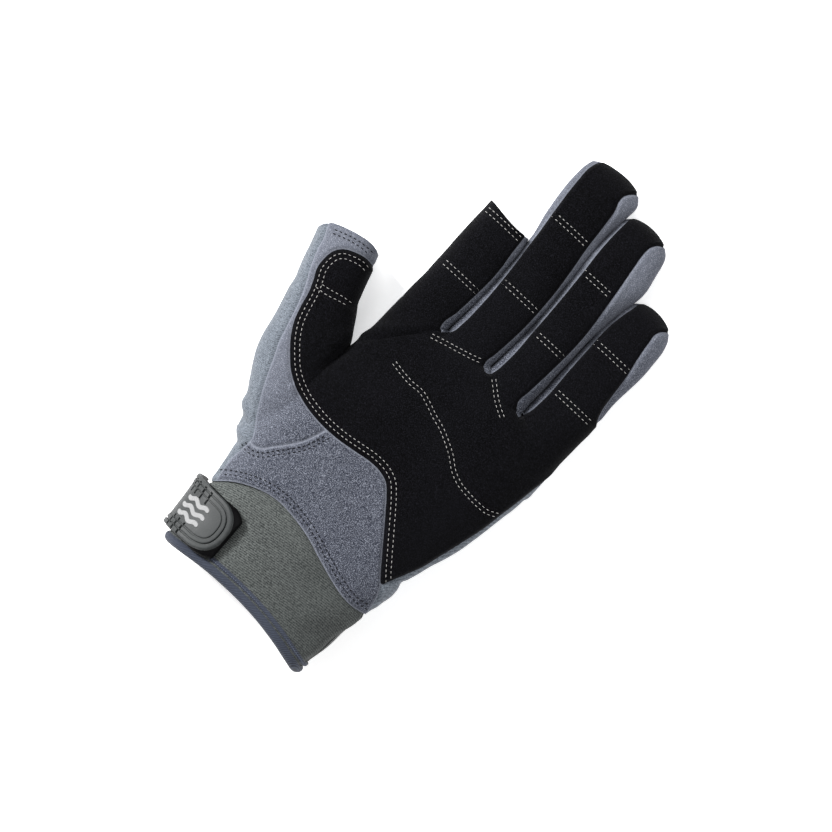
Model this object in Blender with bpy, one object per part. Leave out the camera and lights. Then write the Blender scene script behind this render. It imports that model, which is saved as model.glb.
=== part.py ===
"""Left sailing glove, lying on its back with the palm up.

The glove is a hollow hand of thin sewn panels: a palm with a padded overlay, a stretch back,
three full fingers, a cut-off index finger and thumb, and a neoprene cuff with a pull strap.
Frame: +Y towards the fingertips, +Z out of the palm, thumb at -X, the back of the hand on Z = 0.
The script works in millimetres and writes its meshes in metres.
"""
import math

import bmesh
import bpy
import numpy as np
from mathutils import Vector

MM = 0.001

# ---------------------------------------------------------------- driving dimensions, mm
WALL = 1.5  # one layer of suede or stretch cloth with its lining
CUFF_WALL = 2.5  # neoprene
GAP = 0.5  # daylight between neighbouring panels
FRONT_GAP = 1.3  # the same between the ruled panels of the front, whose seams curve
BACK_GAP = 1.2  # and between the thumb's side panel and the back
SEAM_TURN = 1.4  # half the angle left open between two panels round a digit, degrees
DIGIT_POWER = 2.6  # superellipse power of a digit's cross-section
PALM_POWER = 2.8
FINGER_ROLL = 12  # the finger fronts face a little towards the thumb, degrees
TIP_LENGTH = 13  # length of a closed fingertip's rounding
TIP_END = 0.975  # share of the length at which the two halves of a tip meet

WEB_Y = {"index": 29.8, "middle": 31.3, "ring": 28.4, "pinky": 25.2}
FLEX_Y = {
    "index": [51],
    "middle": [61, 93.3],
    "ring": [55, 85],
    "pinky": [43.8, 68.3],
}
# stations along each finger: y, centre x, half width, half depth
FINGERS = {
    "index": [(29, -25.2, 10.1, 10.6), (52, -25.1, 10.1, 9.9), (79.5, -25, 10.1, 9.6)],
    "middle": [
        (31, -2.9, 10.9, 10.8),
        (61, -2.6, 10.7, 9.8),
        (80, -3.4, 10.8, 9.2),
        (93, -4.6, 11.2, 8.8),
        (108, -5.6, 12.4, 8.2),
        (122, -5.8, 12.4, 8.0),
    ],
    "ring": [
        (28, 19.2, 10.5, 10.6),
        (55, 19.2, 10.5, 9.6),
        (85, 19.2, 10.5, 9.0),
        (114.5, 19.2, 10.5, 8.0),
    ],
    "pinky": [
        (25, 41.6, 11.3, 10.0),
        (45, 41.6, 11.3, 9.2),
        (60, 41.2, 10.9, 8.8),
        (76, 41.9, 11.5, 8.4),
        (92, 41.5, 11.0, 7.8),
    ],
}
CLOSED_END = {"middle": 122, "ring": 114.5, "pinky": 92}
OPEN_END = {"index": 79.5}

THUMB_ROOT = (-53.2, -1.1)  # where the thumb's axis crosses the plane of its root
THUMB_TILT = math.radians(20)
THUMB_FLEX = 14  # from the root to the flex line, along the axis
THUMB_END = 36.4
THUMB = [(-46, 0, 12, 12.5), (-32, 0, 15.2, 13.4), (-12, 0.4, 14.8, 13.3)]
THUMB += [(0, 0.8, 14.6, 13.2), (THUMB_FLEX, 0, 13.3, 12.8), (THUMB_END, 0, 11.9, 12)]

# stations along the palm: y, left edge x, right edge x, height
PALM = [(-70, -41, 38.4, 34), (-60, -43, 39.6, 33.5), (-50, -46, 39.8, 33), (-40, -47, 42.6, 32)]
PALM += [(-20, -46, 48.6, 31), (0, -39, 52, 28.5), (10, -36, 53, 26.5), (32, -35.6, 53.2, 22)]
SINK = 0.8  # how far the palm's section is pressed into the flat it lies on
# where the seams run round the palm's section, degrees
OUTER_EDGE = 25  # the front's seam on the little finger's side
BACK_EDGE = -43  # the back's seam on that side
BACK_EDGE_INNER = 180 - BACK_EDGE  # and on the thumb's side
CROTCH_EDGE = 157  # the front's seam on the thumb's side

# the cuff: y, left edge x, right edge x, bottom z, top z
CUFF = [(-59, -43, 39.6, 2.4, 34), (-72, -41, 38.2, 2.4, 34), (-97, -38.2, 34.6, 2.4, 35)]
MOUTH_LINE = [(-38, -97.9), (-12, -96.2), (3, -96.5), (12, -97.3), (34, -102)]  # the binding
CUFF_SPLIT = 12  # where the cuff's front and back meet, degrees above the side
CUFF_BACK_EDGE = -67.5  # where its back half meets the hand
BINDING_R = 2.2

# the closure: how far along Y each layer reaches, and how far round the cuff, in degrees
STRAP_Y, STRAP_SWEEP = (-93, -74), (198, 268)
LOOP_Y, LOOP_SWEEP = (-93, -75), (117, 150)
HOOK_Y, HOOK_SWEEP = (-92, -75.5), (118, 148)
TAB_Y, TAB_SWEEP = (-95.3, -72), (112, 190)
PEEL_ANGLE = 192  # where the line that the tab peels about runs
# how far each layer lies off the cuff, and its thickness
STRAP_LIFT, STRAP_WALL = 0.4, 1.8
LOOP_LIFT, LOOP_WALL = 0.35, 0.9
HOOK_LIFT, HOOK_WALL = 1.5, 0.75
TAB_LIFT, TAB_WALL = 2.5, 2.6
TAB_ROUND = 22  # how much of the tab's sweep its rounded end takes, degrees


# ---------------------------------------------------------------- curves of the front seams
CUFF_LINE = [(-36.5, -67.3), (-30, -64), (-17, -59.8), (0, -61.8), (20, -68.2), (34.6, -69.4)]
BLACK_LINE = [(-57.5, -6), (-52, -15), (-42, -23), (-30, -26.3), (-15, -26.7), (5, -25)]
BLACK_LINE += [(12, -29.5), (24, -44), (34, -55.5)]
THENAR_LINE = [(-41, -48.8), (-36.5, -50), (-29, -42.3), (-22.5, -29)]
RIDGE_LINE = [(-60.5, -7.5), (-57, -19), (-50.5, -33), (-42.5, -46.5)]
CENTRE_LINE = [(-51, -1), (-37.5, 3.6), (-20, 9.6), (0, 7.6), (25, -5), (46.4, -5.6)]
WEB_LINE = [(-31.2, 28.9), (-15, 29.3), (-12, 30.3), (7, 30.2), (10, 27.6), (28, 27)]
WEB_LINE += [(31, 24.3), (48.4, 24.2)]


# ---------------------------------------------------------------- scene helpers
def clear_scene():
    for obj in list(bpy.data.objects):
        bpy.data.objects.remove(obj, do_unlink=True)


def material(name, colour, roughness):
    """A plain finish, shared by every piece cut from the same material."""
    known = bpy.data.materials.get(name)
    if known:
        return known
    made = bpy.data.materials.new(name)
    made.use_nodes = True
    shader = made.node_tree.nodes["Principled BSDF"]
    shader.inputs["Base Color"].default_value = (*colour, 1)
    shader.inputs["Roughness"].default_value = roughness
    shader.inputs["Metallic"].default_value = 0
    return made


FINISHES = {
    "black_suede": ((0.006, 0.006, 0.008), 0.95),
    "grey_suede": ((0.16, 0.17, 0.21), 0.95),
    "stretch": ((0.30, 0.35, 0.40), 0.8),
    "neoprene": ((0.14, 0.155, 0.145), 0.85),
    "binding": ((0.07, 0.08, 0.13), 0.8),
    "webbing": ((0.03, 0.03, 0.035), 0.8),
    "moulded_rubber": ((0.05, 0.05, 0.052), 0.55),
    "hook_and_loop": ((0.02, 0.02, 0.022), 0.95),
}


class Assembly:
    """The collection of parts, and one empty on each joint's axis to hang them from."""

    def __init__(self, name):
        self.collection = bpy.data.collections.new(name)
        bpy.context.scene.collection.children.link(self.collection)
        self.bodies = {}

    def body(self, name, pivot, parent=None):
        empty = bpy.data.objects.new(name + "_axis", None)
        empty.empty_display_size = 0.01
        self.collection.objects.link(empty)
        place = Vector(pivot) * MM
        empty.location = place
        if parent:
            empty.parent = self.bodies[parent][0]
            empty.location = place - self.bodies[parent][1]
        self.bodies[name] = (empty, place)

    def add(self, obj, body, finish):
        """Hangs an object whose mesh is in world metres on its body's empty."""
        empty, place = self.bodies[body]
        self.collection.objects.link(obj)
        for vertex in obj.data.vertices:
            vertex.co -= place
        obj.parent = empty
        obj.data.materials.append(material(finish, *FINISHES[finish]))
        obj.data.shade_smooth()
        obj.data.set_sharp_from_angle(angle=math.radians(40))


def layered_panel(name, outer, inner):
    """A closed panel between two grids of points, rows along it and columns across."""
    outer, inner = np.asarray(outer, float), np.asarray(inner, float)
    rows, cols = outer.shape[:2]
    count = rows * cols
    points = np.concatenate([outer.reshape(-1, 3), inner.reshape(-1, 3)]) * MM

    def cell(i, j, base):
        return [base + i * cols + j, base + i * cols + j + 1]

    faces = []
    for i in range(rows - 1):
        for j in range(cols - 1):
            faces.append(cell(i, j, 0) + cell(i + 1, j, 0)[::-1])
            faces.append((cell(i, j, count) + cell(i + 1, j, count)[::-1])[::-1])
    rim = [(0, j) for j in range(cols)] + [(i, cols - 1) for i in range(1, rows)]
    rim += [(rows - 1, j) for j in range(cols - 2, -1, -1)] + [(i, 0) for i in range(rows - 2, 0, -1)]
    for (a, b), (c, d) in zip(rim, rim[1:] + rim[:1]):
        faces.append([c * cols + d, a * cols + b, count + a * cols + b, count + c * cols + d])
    mesh = bpy.data.meshes.new(name)
    mesh.from_pydata(points.tolist(), [], faces)
    shape = bmesh.new()
    shape.from_mesh(mesh)
    bmesh.ops.recalc_face_normals(shape, faces=shape.faces)
    shape.to_mesh(mesh)
    shape.free()
    return bpy.data.objects.new(name, mesh)


# ---------------------------------------------------------------- sections
def between(stations, y):
    """Every value of a list of stations at y."""
    table = np.array(stations, float)
    table = table[np.argsort(table[:, 0])]
    return [float(np.interp(y, table[:, 0], column)) for column in table.T[1:]]


def round_box(angle, half_width, half_depth, power):
    """A point of a superellipse at an angle in degrees."""
    c, s = math.cos(math.radians(angle)), math.sin(math.radians(angle))
    x = half_width * math.copysign(abs(c) ** (2 / power), c)
    return x, half_depth * math.copysign(abs(s) ** (2 / power), s)


def digit_point(stations, y, angle, inset, end=None):
    """A point on a digit's skin. inset is how far it lies under the outside."""
    centre, half_width, half_depth = between(stations, y)
    size = 1
    if end is not None:
        past = (y - (end - TIP_LENGTH)) / (TIP_LENGTH - inset)
        size = max(0, 1 - max(0, past) ** DIGIT_POWER) ** (1 / DIGIT_POWER)
    x, z = round_box(angle, (half_width - inset) * size, (half_depth - inset) * size, DIGIT_POWER)
    return centre + x, y, half_depth + z


def thumb_to_world(point):
    x, y, z = point
    c, s = math.cos(THUMB_TILT), math.sin(THUMB_TILT)
    return THUMB_ROOT[0] + c * x - s * y, THUMB_ROOT[1] + s * x + c * y, z


def digit_panel(name, stations, span, angles, columns, rows, place=None, end=None, lift=0):
    """One strip round a digit, from span[0] to span[1] along it."""
    layers = []
    for inset in (0, WALL):
        last = span[1] - (inset if end is not None else 0)
        grid = []
        for y in np.linspace(span[0], last, rows + 1):
            row = [
                digit_point(stations, y, angle, inset, end)
                for angle in np.linspace(*angles, columns + 1)
            ]
            grid.append([(x, y, z + lift) for x, y, z in row])
        layers.append(grid)
    if place:
        layers = [[[place(p) for p in row] for row in grid] for grid in layers]
    return layered_panel(name, *layers)


def crown(stations, y):
    """The height of a flex line: the top of the digit."""
    return 2 * between(stations, y)[2]


def palm_point(y, angle, inset=0):
    """A point of the palm's section, flattened where it lies on its back."""
    left, right, height = between(PALM, y)
    x, z = round_box(angle, (right - left) / 2 - inset, height / 2 - inset, PALM_POWER)
    z += height / 2 - (SINK if z < 0 else 0)
    return (left + right) / 2 + x, y, max(z, inset)


def top_height(x, y):
    """The height of the front over the plan: the palm and the thumb's root, whichever is higher."""
    left, right, height = between(PALM, y)
    across = abs(2 * x - left - right) / (right - left)
    palm = height / 2 * (1 + max(0, 1 - across**PALM_POWER) ** (1 / PALM_POWER))
    c, s = math.cos(THUMB_TILT), math.sin(THUMB_TILT)
    dx, dy = x - THUMB_ROOT[0], y - THUMB_ROOT[1]
    centre, half_width, half_depth = between(THUMB, c * dy - s * dx)
    across = abs(c * dx + s * dy - centre) / half_width
    thumb = half_depth * (1 + max(0, 1 - across**DIGIT_POWER) ** (1 / DIGIT_POWER))
    palm, thumb = (palm if across > 0 else 0), (thumb if across < 1 else 0)
    soft = 2.5
    return soft * math.log(math.exp(palm / soft) + math.exp(thumb / soft)) - 0.7 * soft


def along(points, count):
    """count points spread evenly by length along a line of corners."""
    corners = np.array(points, float)
    steps = np.r_[0, np.cumsum(np.linalg.norm(np.diff(corners, axis=0), axis=1))]
    at = np.linspace(0, steps[-1], count)
    return np.stack([np.interp(at, steps, corners[:, k]) for k in (0, 1)], axis=1)


def front_panel(name, lower, upper, columns, rows, wall=WALL):
    """A panel of the palm side, ruled in plan between its lower and upper seams."""
    low, high = along(lower, columns + 1), along(upper, columns + 1)
    length = np.linalg.norm(high - low, axis=1)[:, None]
    step = (high - low) / length * FRONT_GAP / 2
    low, high = low + step, high - step
    plan = [low + (high - low) * t for t in np.linspace(0, 1, rows + 1)]
    outer = [[(x, y, top_height(x, y)) for x, y in row] for row in plan]
    inner = [[(x, y, z - wall) for x, y, z in row] for row in outer]
    return layered_panel(name, outer, inner)


# ---------------------------------------------------------------- the hand
def palm_strip(name, span, angles, columns, rows, ends=None):
    """A strip of the palm's section. ends, if given, is the line its far edge follows."""
    layers = []
    for inset in (0, WALL):
        grid = []
        for share in np.linspace(0, 1, rows + 1):
            row = []
            for angle in np.linspace(*angles, columns + 1):
                x = palm_point(span[1], angle)[0]
                last = np.interp(x, *np.array(ends).T) if ends else span[1]
                y = span[0] + share * (last - span[0])
                row.append(palm_point(y, angle, inset))
            grid.append(row)
        layers.append(grid)
    return layered_panel(name, *layers)


def thumb_side_panel(name, columns, rows):
    """The stretch cloth round the thumb's root: from the ridge seam, round the side, to the back."""
    ridge, under = 131, 262
    layers = []
    for inset in (0, WALL):
        grid = []
        for share in np.linspace(0, 1, rows + 1):
            v = -46 + share * (46 - GAP)
            row = []
            for angle in np.linspace(ridge, under, columns + 1):
                x, y, z = thumb_to_world(digit_point(THUMB, v, angle, inset))
                row.append((x, y, z))
            y = -47 + share * 49
            x, _, z = palm_point(y, BACK_EDGE_INNER)
            row.append((x - BACK_GAP, y, max(z * 0.5, 0.2) + inset))
            grid.append(row)
        layers.append(grid)
    return layered_panel(name, *layers)


def make_hand(glove):
    glove.body("hand", (0, 0, 0))
    back_ends = [(x, y - 0.2) for x, y in WEB_LINE]
    pieces = [
        (front_panel("heel_panel", CUFF_LINE, [THENAR_LINE[0], THENAR_LINE[1], THENAR_LINE[2]]
                     + [(-22.5, -28.5)] + BLACK_LINE[4:], 14, 3), "grey_suede"),
        (front_panel("thenar_panel", RIDGE_LINE + [(-36.5, -48.6), (-29.5, -41), (-23.5, -29)],
                     BLACK_LINE[:4] + [(-23.3, -28.2)], 10, 2), "grey_suede"),
        (front_panel("palm_panel", BLACK_LINE, CENTRE_LINE, 14, 3), "black_suede"),
        (front_panel("palm_overlay", [(-32, 6.4)] + CENTRE_LINE[2:], WEB_LINE, 12, 3), "black_suede"),
        (palm_strip("back_panel", (-66.8, 28), (BACK_EDGE_INNER + 1, 360 + BACK_EDGE - 1), 8, 6,
                    back_ends), "stretch"),
        (palm_strip("outseam_gusset", (-66, 24), (BACK_EDGE, OUTER_EDGE), 4, 5), "stretch"),
        (palm_strip("crotch_gusset", (6, 29), (CROTCH_EDGE, BACK_EDGE_INNER), 4, 2), "stretch"),
        (palm_strip("wrist_gusset", (-66.5, -51.5), (CROTCH_EDGE, BACK_EDGE_INNER), 4, 2), "stretch"),
        (thumb_side_panel("thumb_side_gusset", 6, 6), "stretch"),
    ]
    for obj, finish in pieces:
        glove.add(obj, "hand", finish)


# ---------------------------------------------------------------- the cuff and its closure
def cuff_point(y, angle, inset):
    left, right, low, high = between(CUFF, y)
    x, z = round_box(angle, (right - left) / 2 - inset, (high - low) / 2 - inset, PALM_POWER)
    return (left + right) / 2 + x, y, (low + high) / 2 + z


def mouth_y(x):
    """Where the edge binding runs, over x."""
    return float(np.interp(x, *np.array(MOUTH_LINE).T))


def cuff_half(name, angles, top, columns, rows):
    """Half of the neoprene cuff; top gives its upper edge over x."""
    layers = []
    for inset in (0, CUFF_WALL):
        grid = []
        for share in np.linspace(0, 1, rows + 1):
            row = []
            for angle in np.linspace(*angles, columns + 1):
                x = cuff_point(-72, angle, 0)[0]
                start, stop = top(x), mouth_y(x) + BINDING_R + 2 * GAP
                y = start + share * (stop - start)
                row.append(cuff_point(y, angle, inset))
            grid.append(row)
        layers.append(grid)
    return layered_panel(name, *layers)


def binding_ring(name):
    """The rolled edge binding: a closed round cord along the cuff's mouth."""
    curve = bpy.data.curves.new(name, "CURVE")
    curve.dimensions = "3D"
    curve.bevel_depth = BINDING_R * MM
    curve.bevel_resolution = 2
    curve.resolution_u = 1
    spline = curve.splines.new("POLY")
    turns = 28
    spline.points.add(turns - 1)
    for i, point in enumerate(spline.points):
        x, _, z = cuff_point(-97, 360 * i / turns, CUFF_WALL / 2)
        point.co = (x * MM, mouth_y(x) * MM, max(z, BINDING_R) * MM, 1)
    spline.use_cyclic_u = True
    holder = bpy.data.objects.new(name + "_path", curve)
    bpy.context.scene.collection.objects.link(holder)
    mesh = bpy.data.meshes.new_from_object(holder.evaluated_get(bpy.context.evaluated_depsgraph_get()))
    bpy.data.objects.remove(holder, do_unlink=True)
    mesh.name = name
    mesh.materials.clear()
    return bpy.data.objects.new(name, mesh)


def strap_strip(name, angles, span, offset, wall, columns, rows, round_end=0):
    """A strip that lies on the cuff, offset outwards; its far end may be rounded."""
    layers = []
    middle, half = (span[0] + span[1]) / 2, (span[1] - span[0]) / 2
    for out in (offset + wall, offset):
        grid = []
        for angle in np.linspace(*angles, columns + 1):
            width = half
            past = (angles[0] + round_end - angle) / round_end if round_end else 0
            if 0 < past:
                width *= math.sqrt(1 - (0.9 * past) ** 2)
            grid.append(
                [cuff_point(middle + width * t, angle, -out) for t in np.linspace(-1, 1, rows + 1)]
            )
        layers.append(grid)
    return layered_panel(name, *layers)


def make_cuff(glove):
    lines = np.array(CUFF_LINE).T
    front = cuff_half("cuff_front", (CUFF_SPLIT, 180 - CUFF_SPLIT),
                      lambda x: float(np.interp(x, *lines)) - GAP, 14, 2)
    back = cuff_half("cuff_back", (180 - CUFF_SPLIT + SEAM_TURN, 360 + CUFF_SPLIT - SEAM_TURN),
                     lambda x: CUFF_BACK_EDGE, 14, 2)
    glove.add(front, "hand", "neoprene")
    glove.add(back, "hand", "neoprene")
    glove.add(binding_ring("cuff_binding"), "hand", "binding")
    strap_base = strap_strip("wrist_strap", STRAP_SWEEP, STRAP_Y, STRAP_LIFT, STRAP_WALL, 8, 1)
    glove.add(strap_base, "hand", "webbing")
    loop = strap_strip("loop_patch", LOOP_SWEEP, LOOP_Y, LOOP_LIFT, LOOP_WALL, 6, 1)
    glove.add(loop, "hand", "hook_and_loop")


def make_pull_tab(glove):
    """The moulded tab, which peels off the cuff about a line along its thumb side."""
    pivot = cuff_point(-84, PEEL_ANGLE, -STRAP_WALL)
    glove.body("pull_strap", pivot, "hand")
    tab = strap_strip("pull_tab", TAB_SWEEP, TAB_Y, TAB_LIFT, TAB_WALL, 12, 6, TAB_ROUND)
    glove.add(tab, "pull_strap", "moulded_rubber")
    hook = strap_strip("hook_patch", HOOK_SWEEP, HOOK_Y, HOOK_LIFT, HOOK_WALL, 4, 1)
    glove.add(hook, "pull_strap", "hook_and_loop")


# ---------------------------------------------------------------- the digits
def make_finger(glove, name):
    stations, roll = FINGERS[name], FINGER_ROLL
    lines = [WEB_Y[name]] + FLEX_Y[name]
    segments = ["base", "middle", "tip"][: len(lines)]
    end = CLOSED_END.get(name)
    lines.append(end if end else OPEN_END[name])
    quarters = {
        "front": (38 + roll, 142 + roll, "black_suede"),
        "side_inner": (144 + roll, 212, "grey_suede"),
        "side_outer": (-32, 36 + roll, "grey_suede"),
        "back": (214, 326, "stretch"),
    }
    halves = {"front": (0, 180, "black_suede"), "back": (180, 360, "stretch")}
    if not end:
        quarters = {
            "front": (38 + roll, 180, "black_suede"),
            "side": (-32, 36 + roll, "grey_suede"),
            "back": (182, 326, "stretch"),
        }
    parent = "hand"
    for i, segment in enumerate(segments):
        body = f"{name}_{segment}"
        y = lines[i]
        glove.body(body, (between(stations, y)[0], y, crown(stations, y)), parent)
        parent = body
        closed = segment == "tip"
        span = (y + GAP / 2, y + (end - y) * TIP_END if closed else lines[i + 1] - GAP / 2)
        for side, (low, high, finish) in (halves if closed else quarters).items():
            turn = 0 if closed else SEAM_TURN
            lift = {"front": GAP, "back": 0}[side] if closed else 0
            columns, rows = (8, 6) if closed else (4, 2)
            obj = digit_panel(
                f"{body}_{side}",
                stations,
                span,
                (low + turn, high - turn),
                columns,
                rows,
                end=end if closed else None,
                lift=lift,
            )
            glove.add(obj, body, finish)


def make_thumb(glove):
    sides = {
        "front": (-8, 109, "black_suede", 5),
        "side": (111, 134, "grey_suede", 2),
        "back": (136, 350, "stretch", 8),
    }
    spans = {"base": (0, THUMB_FLEX), "tip": (THUMB_FLEX, THUMB_END)}
    parent = "hand"
    for segment, (start, stop) in spans.items():
        body = f"thumb_{segment}"
        centre = between(THUMB, start)[0]
        glove.body(body, thumb_to_world((centre, start, crown(THUMB, start))), parent)
        parent = body
        for side, (low, high, finish, columns) in sides.items():
            obj = digit_panel(
                f"{body}_{side}",
                THUMB,
                (start + GAP / 2, stop - GAP / 2),
                (low + SEAM_TURN, high - SEAM_TURN),
                columns,
                2,
                place=thumb_to_world,
            )
            glove.add(obj, body, finish)


def main():
    clear_scene()
    glove = Assembly("sailing_glove")
    make_hand(glove)
    make_cuff(glove)
    make_pull_tab(glove)
    for name in FINGERS:
        make_finger(glove, name)
    make_thumb(glove)


main()
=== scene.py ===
"""Left sailing glove, palm up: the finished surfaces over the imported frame.

One smooth hand form is made first. Every sewn panel is then cut out of that form along its seams,
given its thickness and its turned edges, and stitched. Lengths are in millimetres until a mesh is
handed to Blender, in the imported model's frame: +Y to the fingertips, +Z out of the palm.
"""
import math

import bmesh
import bpy
import numpy as np
from mathutils import Matrix, Vector, noise
from mathutils.bvhtree import BVHTree


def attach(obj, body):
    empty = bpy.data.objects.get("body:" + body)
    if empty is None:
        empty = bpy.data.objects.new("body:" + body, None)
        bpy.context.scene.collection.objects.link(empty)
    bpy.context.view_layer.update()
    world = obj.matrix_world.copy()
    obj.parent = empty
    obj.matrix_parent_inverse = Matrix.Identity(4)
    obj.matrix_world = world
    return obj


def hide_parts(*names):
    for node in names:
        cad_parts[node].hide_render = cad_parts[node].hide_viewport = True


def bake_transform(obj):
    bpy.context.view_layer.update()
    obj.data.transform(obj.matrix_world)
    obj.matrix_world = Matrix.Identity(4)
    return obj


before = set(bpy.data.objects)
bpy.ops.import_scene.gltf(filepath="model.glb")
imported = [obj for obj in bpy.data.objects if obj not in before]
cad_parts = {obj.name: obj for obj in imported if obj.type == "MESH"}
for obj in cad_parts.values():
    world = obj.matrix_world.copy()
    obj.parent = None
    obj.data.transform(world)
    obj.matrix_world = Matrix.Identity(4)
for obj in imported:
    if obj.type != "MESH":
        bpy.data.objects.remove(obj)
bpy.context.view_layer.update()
MM = 0.001

# ---------------------------------------------------------------- driving dimensions, mm
VOXEL = 0.9
RELAX = 9  # the form is smoothed about this far after it is joined up
SLIM = 1.7  # the form is joined up this much slimmer, so that the fingers stay apart, and then let out

FLOOR_CLEAR = 0.15  # the lowest that any panel comes
SUEDE, STRETCH, NEOPRENE = 1.1, 0.9, 2.4  # wall thicknesses
BLACK_LIFT, STRETCH_LIFT = 0.35, -0.1  # how far a layer stands over the grey suede

# stations along each finger: y, left edge x, right edge x, height of the top
FINGERS = {
    "index": [(6, -35.6, -14.0, 23), (31, -35.4, -13.4, 21.6), (50, -35.1, -12.6, 20.2),
              (65, -35.1, -13.2, 19.6), (77, -35.2, -14.2, 19.4), (84, -35.4, -16.9, 19.4)],
    "middle": [(6, -13.8, 8.2, 23), (33, -13.8, 8.5, 21.8), (48, -12.8, 9.5, 20.6),
               (61, -13.0, 9.7, 19.8), (79, -14.2, 8.3, 18.8), (92, -16.7, 6.9, 18),
               (100, -19.1, 6.8, 17.6), (108, -20.3, 7.5, 17), (115, -19.7, 8.0, 16.4),
               (123, -15.8, 7.6, 15.6)],
    "ring": [(6, 8.0, 28.8, 23), (34, 8.1, 29.3, 21.4), (55, 9.0, 29.5, 19.8), (72, 8.2, 29.4, 19),
             (85, 7.2, 31, 18.4), (94, 6.6, 32.7, 17.8), (103, 6.4, 31.2, 17.2),
             (114.5, 5.9, 28.6, 16)],
    "pinky": [(6, 29.6, 53.3, 22), (30, 29.3, 53.5, 20.4), (46, 29.4, 53.8, 19), (56, 29.3, 53.3, 18.4),
              (70, 29.2, 54.1, 17.6), (82, 29.9, 53.2, 16.8), (92, 31.1, 51.0, 15.8)],
}
TIP_Y = {"middle": 123.1, "ring": 115.0, "pinky": 92.5}
WEB_Y = {"index": 29.8, "middle": 31.3, "ring": 28.4, "pinky": 25.2}
FLEX_Y = {"index": [51], "middle": [61, 93.3], "ring": [55, 85], "pinky": [43.8, 68.3]}
TIP_PLAN, TIP_SIDE = 5.0, 10  # how long a fingertip's rounding is, seen from above and from the side
TIP_SHRINK = 0.35  # made up for here: the relaxing draws a tip in
FINGER_ROLL = 7  # degrees

THUMB_ROOT = (-53.2, -1.1)
THUMB_TILT = math.radians(20)
THUMB_COS, THUMB_SIN = math.cos(THUMB_TILT), math.sin(THUMB_TILT)
THUMB_FLEX, THUMB_END = 14, 36.4
# stations along the thumb: v, centre u, half width, height
THUMB = [(-52, 2.5, 9.5, 25), (-42, 0.8, 12.2, 26), (-32, 0, 14.1, 27), (-23, -0.8, 15.3, 27),
         (-12, -1.1, 15.9, 27), (-2, 0.2, 15.6, 26.6), (6, -0.4, 14.4, 26), (THUMB_FLEX, -0.9, 13.1, 25.6),
         (24, -0.7, 12.9, 25), (THUMB_END, -0.5, 12.7, 24), (44, -0.5, 12.4, 24)]

# stations along the palm: y, left edge x, right edge x, height of the top
PALM = [(-80, -40.6, 38, 34.6), (-66, -42, 39.1, 34.4), (-58, -43.4, 40.4, 34), (-52, -45.4, 40.8, 33.4),
        (-40, -46, 43.4, 32.6), (-28, -45, 47.2, 31.8), (-12, -42, 50.6, 30.4), (0, -37.4, 52.3, 28.8),
        (10, -36.0, 52.9, 26.8), (20, -35.6, 53.3, 24.6), (31, -35.3, 53.4, 22.6)]
PALM_POWER, DIGIT_POWER = 2.7, 2.5
PALM_END = [(-36, 31.5), (-14, 31.8), (8, 33.2), (27, 28.5), (54, 26)]  # y of the webs over x
PALM_ROUND = 7  # how long the rounding of the palm's far end is
TUBE_SIDES, TUBE_ROWS, TIP_ROWS = 56, 40, 14
CAP_POWER = 2.3
ROLL_SHEAR = 0.6  # the share of a digit's roll that its section leans by
LET_OUT_Y, WEB_BACK = 8, 1.2  # the palm's end is let out from here on, to this much short of PALM_END
PALM_DROP, PALM_LOW = 0.8, 10  # the palm's points under this height are lowered, level with the fingers
THUMB_LONG = 42  # the thumb's tube is this long, before the hem cuts it
X, Y, Z = 0, 1, 2


# ---------------------------------------------------------------- curves and tables
def smooth(table, at):
    """Every column of a table of stations at the places `at`, as cubic curves through the stations."""
    table = np.array(table, float)
    x, values = table[:, 0], table[:, 1:]
    slope = np.gradient(values, x, axis=0)
    at = np.clip(np.asarray(at, float), x[0], x[-1])
    i = np.clip(np.searchsorted(x, at) - 1, 0, len(x) - 2)
    h = (x[i + 1] - x[i])[..., None]
    t = (at[..., None] - x[i][..., None]) / h
    return (
        (2 * t**3 - 3 * t**2 + 1) * values[i]
        + (t**3 - 2 * t**2 + t) * h * slope[i]
        + (3 * t**2 - 2 * t**3) * values[i + 1]
        + (t**3 - t**2) * h * slope[i + 1]
    )


def straight_between(table, at):
    """A table's one value at the places `at`, along straight lines."""
    return np.interp(at, *np.array(table).T)


def run_along(points):
    """The distance from the first point to each point, along the line through them."""
    return np.r_[0, np.cumsum(np.linalg.norm(np.diff(points, axis=0), axis=1))]


def curve_through(points, step=1.0):
    """A smooth line in plan through given points, sampled about every step."""
    points = np.array(points, float)
    run = run_along(points)
    return smooth(np.column_stack([run, points]), np.arange(0, run[-1] + step / 2, step))


def offset_line(line, distance):
    """A line in plan moved to its left by distance."""
    along = np.gradient(line, axis=0)
    along /= np.linalg.norm(along, axis=1)[:, None]
    return line + distance * np.column_stack([-along[:, 1], along[:, 0]])


def line_distance(line, co):
    """Distance in plan from each point to a line, signed: positive to the line's left."""
    a, b = line[:-1], line[1:]
    d = b - a
    rel = co[:, None, :2] - a[None]
    t = np.clip((rel * d).sum(2) / (d * d).sum(1), 0, 1)
    gap = rel - t[..., None] * d
    far = (gap**2).sum(2)
    k = far.argmin(1)
    rows = np.arange(len(co))
    side = d[k, 0] * rel[rows, k, 1] - d[k, 1] * rel[rows, k, 0]
    return np.sqrt(far[rows, k]) * np.sign(side)


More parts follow.
